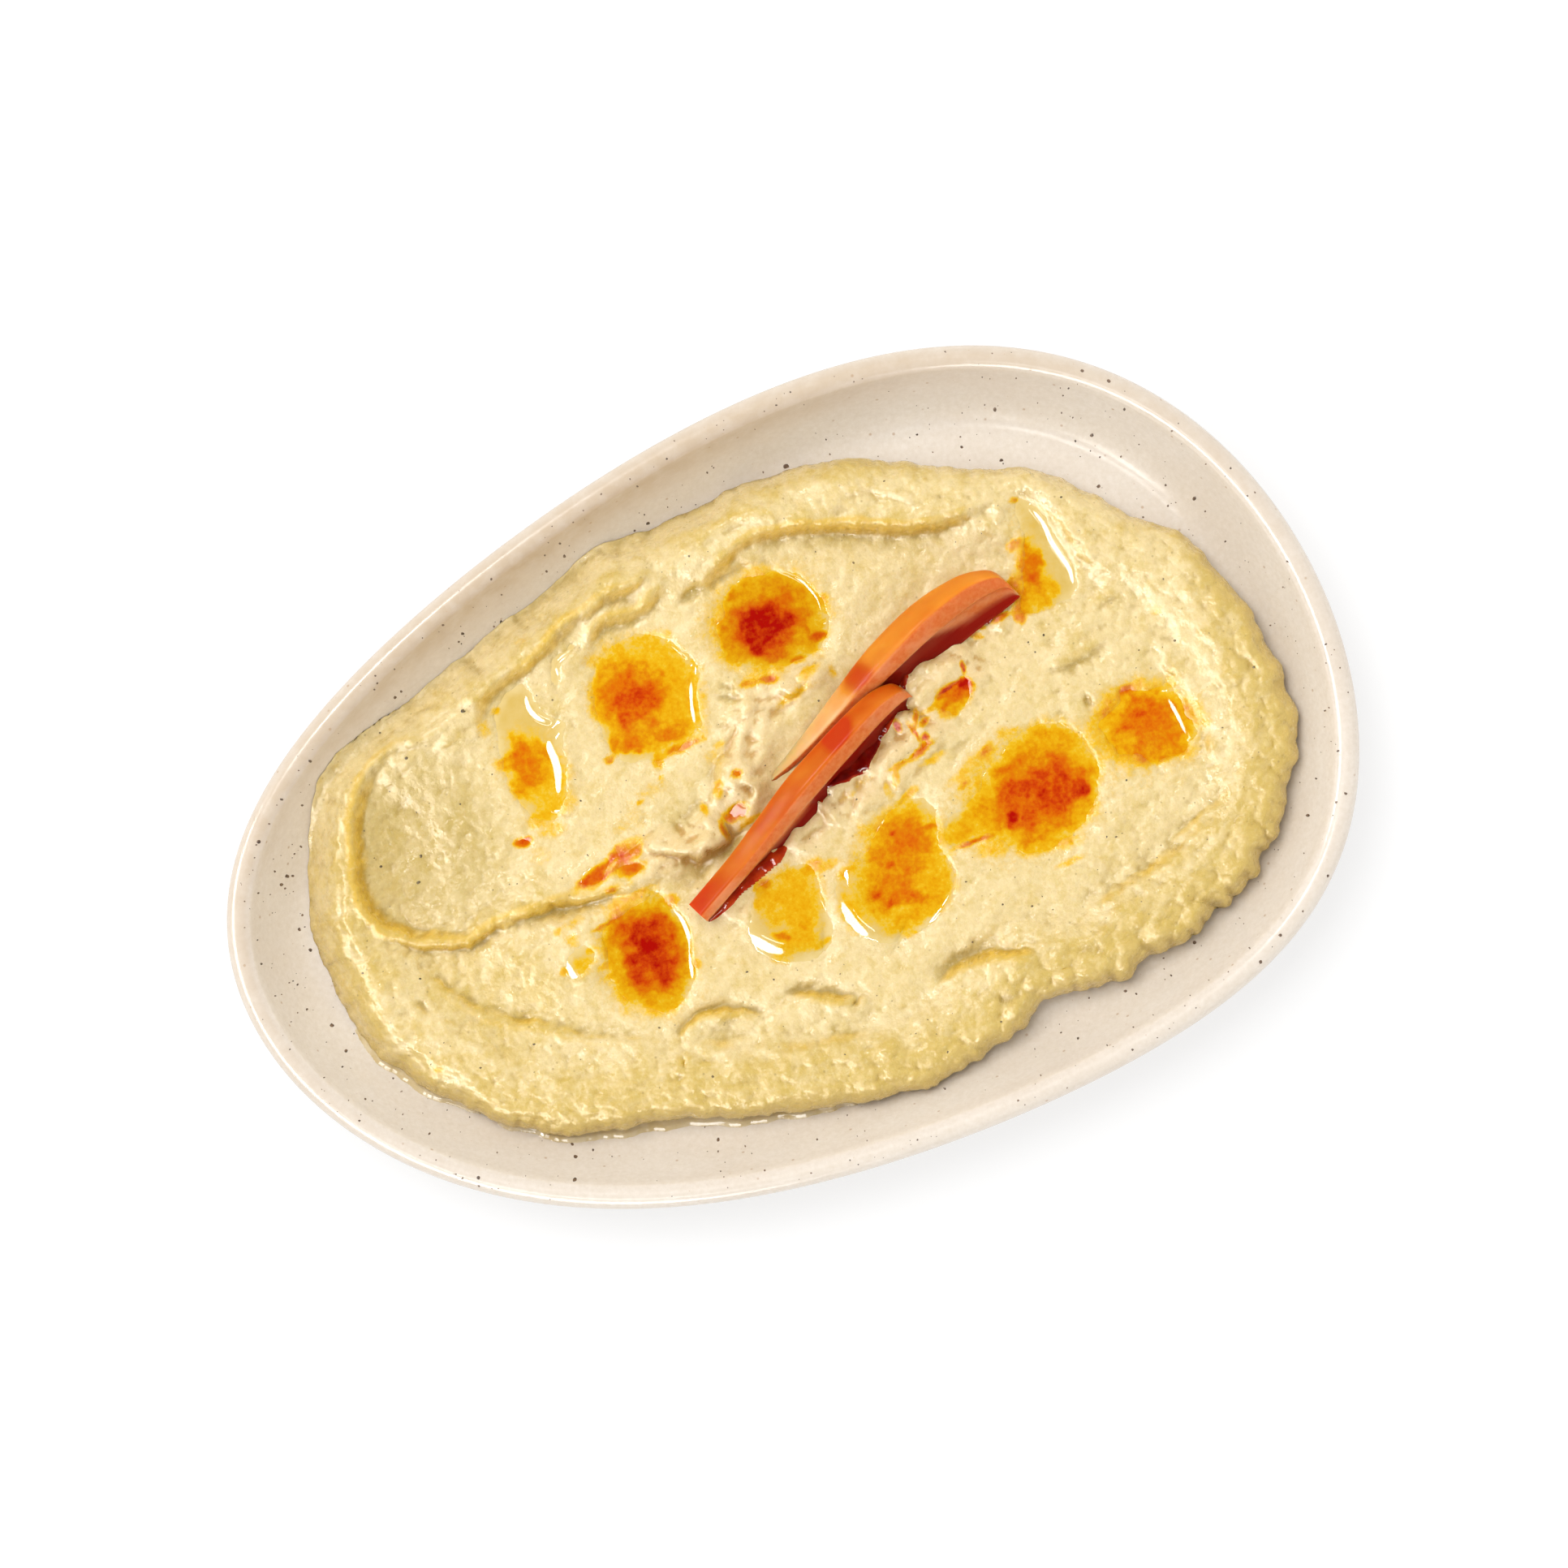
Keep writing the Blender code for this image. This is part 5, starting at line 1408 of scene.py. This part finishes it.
def make_wedge(name, sizes, material):
    """A slice of tomato: cut face, skin, cut face, from one pointed end to the other."""
    start, end = np.array(sizes["start"], float), np.array(sizes["end"], float)
    across = np.array([start[1] - end[1], end[0] - start[0], 0])
    across /= np.linalg.norm(across)
    up = np.array([0, 0, 1.0])
    ripeness = sizes["ripeness"]
    hollow_from, hollow_to = sizes["hollow"]
    narrow, broad = sizes["high"]
    kept = smooth_path(sizes["girth"])
    lower = math.radians(sizes["low"])
    profile = wedge_profile()
    points, skins, deeps, ripes = [], [], [], []
    for section in range(WEDGE_SECTIONS + 1):
        share = 0.5 - 0.5 * math.cos(math.pi * section / WEDGE_SECTIONS)
        fullness = float(np.interp(share, kept[:, 0], kept[:, 1]))
        upper = math.radians(narrow + (broad - narrow) * share)
        core = start + (end - start) * share
        wave = 0.25 * float(swell(share * 60, 0.0, 9.0, 131))
        open_here = float(ease(hollow_from - 0.08, hollow_from + 0.08, share)
                          * ease(hollow_to + 0.12, hollow_to - 0.10, share))
        buried = (0.5 - ripeness) * float(ease(0.58, 0.22, share))
        end_ripeness = (1.2 * ripeness - 0.3) * float(ease(0.2, 0.0, share))
        for out, turn, side in profile:
            # round the corner between skin and cut face a little
            corner = min(turn, 1 - turn) if side == "skin" else 1.0
            soft = 0.030 * math.exp(-corner * 22) if side == "skin" else 0.030 * math.exp(-(1 - out) * 40)
            slope = lower + (upper - lower) * turn
            radial = (out - soft) * (sizes["radius"] * fullness)
            spot = core + radial * (across * math.cos(slope) + up * math.sin(slope))
            if side == "high":
                normal = -across * math.sin(slope) + up * math.cos(slope)
                bulge = 1.1 * float(ease(1.0, 0.76, out))
                dip = 1.7 * float(ease(0.70, 0.50, out)) * float(ease(0.02, 0.30, out))
                spot = spot + normal * (wave * (1 - out) + (bulge - dip) * min(1.0, fullness))
            points.append(spot)
            skins.append(1.0 if side == "skin" and corner > 0.02 else 0.0)
            # darker towards the core and more so along the hollow: partly juice, partly painted shade
            depth = float(ease(0.36 + 0.36 * open_here, 0.18 + 0.34 * open_here, out))
            deeps.append(depth if side != "skin" else 0.0)
            near_patch = float(blob(spot[None, :2], *sizes["red_patch"], 35, 1.3)[0])
            uneven = 0.25 * float(swell(share * 60, 10 * turn, 6.0, 141))
            ripes.append(ripeness + near_patch + uneven + end_ripeness - 2.4 * max(buried, 0))
    count = len(profile)
    faces = []
    for section in range(WEDGE_SECTIONS):
        faces += ring_faces(section * count, (section + 1) * count, count)
    faces.append(list(range(count))[::-1])
    faces.append([WEDGE_SECTIONS * count + i for i in range(count)])
    piece = add_piece(name + "_slice", points, [f[::-1] for f in faces], material,
                      {"skin": skins, "deep_and_shaded": deeps, "ripe": ripes})
    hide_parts(name)


# ---- specks --------------------------------------------------------------------------
def scatter_specks(name, specks, height_at, material, thickness):
    """Small uneven flecks that lie on a surface: (x, y, length, width, turn)."""
    points, faces = [], []
    for number, (x, y, length, width, turn) in enumerate(specks):
        level, slope_x, slope_y = height_at((x, y))
        turn = math.radians(turn)
        start = len(points)
        for scale, lift in ((1.0, -0.08), (0.86, 0.6 * thickness), (0.45, thickness)):
            for corner in range(SPECK_CORNERS):
                angle = TAU * corner / SPECK_CORNERS
                uneven = 0.78 + 0.44 * float(random_share(corner, number, 151))
                u = 0.5 * length * scale * uneven * math.cos(angle)
                v = 0.5 * width * scale * uneven * math.sin(angle)
                dx = u * math.cos(turn) - v * math.sin(turn)
                dy = u * math.sin(turn) + v * math.cos(turn)
                points.append((x + dx, y + dy, level + slope_x * dx + slope_y * dy + lift))
        for ring in (start, start + SPECK_CORNERS):
            faces += ring_faces(ring, ring + SPECK_CORNERS, SPECK_CORNERS)
        faces.append([start + 2 * SPECK_CORNERS + i for i in range(SPECK_CORNERS)])
    add_piece(name, points, faces, material)


def glaze_height_at(spot):
    """The dish's upper surface at a place, with its slopes."""
    step = 0.2
    spots = np.array([spot, (spot[0] + step, spot[1]), (spot[0], spot[1] + step)])
    inset = distance_to(spots, RIM)
    on_lip = RIM_HEIGHT - LIP + np.sqrt(np.clip(LIP ** 2 - (inset - LIP) ** 2, 0, None))
    heights = np.where(inset < wall_top()[0], on_lip, inner_height(inset))
    return float(heights[0]), float(heights[1] - heights[0]) / step, float(heights[2] - heights[0]) / step


def spread_height_at(flat, surface, spot):
    """The spread's height and slopes at a place, from its closest points."""
    count = 12
    distance = np.sum((flat - np.array(spot)) ** 2, axis=1)
    closest = np.argpartition(distance, count)[:count]
    return fitted_plane(flat[closest], surface[closest], np.array(spot))


def make_glaze_specks():
    specks = []
    for number, (x, y, width) in enumerate(GLAZE_SPECKS):
        if outside_by(np.array([[x, y]]), RIM)[0] < -1.0:
            specks.append((x, y, width, width * 0.85, 40 * number))
    generator = np.random.default_rng(GLAZE_SEED)
    while len(specks) < GLAZE_SPECK_COUNT:
        angle = generator.uniform(0, TAU)
        inset = generator.uniform(1.2, 26)
        if inset > float(margin(np.array([angle]))[0]) - 0.8:
            continue
        x, y = inset_egg(np.array([angle]), np.array([inset]))[0]
        width = 0.22 + 0.40 * generator.random() ** 2.5
        specks.append((x, y, width, width * 0.8, generator.uniform(0, 180)))
    finish = speck_finish("glaze_speck", (0.060, 0.038, 0.026), (0.22, 0.14, 0.09))
    scatter_specks("glaze_specks", specks, glaze_height_at, finish, 0.03)


def make_spread_specks(flat, surface):
    specks = list(SPREAD_SPECKS)
    generator = np.random.default_rng(SPREAD_SEED)
    while len(specks) < SPREAD_SPECK_COUNT:
        x, y = generator.uniform(-98, 102), generator.uniform(-64, 60)
        spot = np.array([[x, y]])
        if outside_by(spot, EDGE)[0] > -2 or tone_at(spot)[0] > 0.3:
            continue
        length = 0.22 + 0.42 * generator.random() ** 2.2
        specks.append((x, y, length, length * generator.uniform(0.5, 1), generator.uniform(0, 180)))
    finish = speck_finish("spice_speck", (0.055, 0.035, 0.015), (0.22, 0.15, 0.05))
    scatter_specks("spice_specks", specks, lambda spot: spread_height_at(flat, surface, spot), finish,
                   0.10)


# ---- scene ---------------------------------------------------------------------------
def make_floor():
    bpy.ops.mesh.primitive_plane_add(size=6.0, location=(0, 0, -0.0002))
    floor = bpy.context.object
    floor.name = "floor"
    finish = Finish("floor_paper")
    # a lit table keeps the dish's shadow as faint as on white paper under a tent
    finish.shade(Base_Color=finish.mix(finish.noise(300, 2), (0.36, 0.36, 0.36), (0.37, 0.37, 0.37)),
                 Roughness=0.9, Specular_IOR_Level=0.0, Emission_Color=(1, 1, 1),
                 Emission_Strength=FLOOR_GLOW)
    floor.data.materials.append(finish.material)


def make_world():
    """A white room, lighter low down than overhead, and dark where oil and glaze mirror it."""
    world = bpy.data.worlds.new("studio")
    world.use_nodes = True
    room = Nodes(world.node_tree)
    upwards = room.node("SeparateXYZ", "Z", {"Vector": room.node("TexCoord", "Generated", {})})
    lit = room.node("MapRange", "Result", {"Value": upwards, "To Min": ROOM_LOW, "To Max": ROOM_OVERHEAD})
    mirrored = room.node("LightPath", "Is Glossy Ray", {})
    seen = room.node("MapRange", "Result", {"Value": mirrored, "To Min": lit, "To Max": ROOM_MIRRORED})
    background = room.tree.nodes["Background"]
    room.put(background.inputs["Color"], (1, 1, 1))
    room.put(background.inputs["Strength"], seen)
    bpy.context.scene.world = world


def make_lights():
    """Soft boxes that look at the middle of the dish."""
    for name, azimuth, elevation, width, height, power, hidden_from in LIGHTS:
        data = bpy.data.lights.new(name, "AREA")
        data.shape = "RECTANGLE"
        data.size = width
        data.size_y = height
        data.energy = power
        light = add_object(name, data)
        a, e = math.radians(azimuth), math.radians(elevation)
        place = Vector((math.cos(a) * math.cos(e), math.sin(a) * math.cos(e), math.sin(e))) * LIGHT_DISTANCE
        light.location = place
        light.rotation_euler = (-place).to_track_quat("-Z", "Y").to_euler()
        setattr(light, "visible_" + hidden_from, False)


def make_camera():
    data = bpy.data.cameras.new("camera")
    data.sensor_width = 36
    data.lens = CAMERA_LENS
    data.clip_start = 0.01
    camera = add_object("camera", data)
    camera.location = Vector(CAMERA_PLACE) * MM
    camera.rotation_euler = (0, 0, math.radians(CAMERA_TURN))
    scene = bpy.context.scene
    scene.camera = camera
    scene.view_settings.view_transform = "Standard"


make_floor()
make_world()
make_lights()
make_camera()
make_dish()
shores = pool_shores()
levels = pool_levels(shores)
flat, surface = make_hummus(shores, levels)
make_pools(shores, levels)
make_edge_oil()
make_juice()
tomato = tomato_finish()
for wedge_name, sizes in WEDGES.items():
    make_wedge(wedge_name, sizes, tomato)
make_glaze_specks()
make_spread_specks(flat, surface)
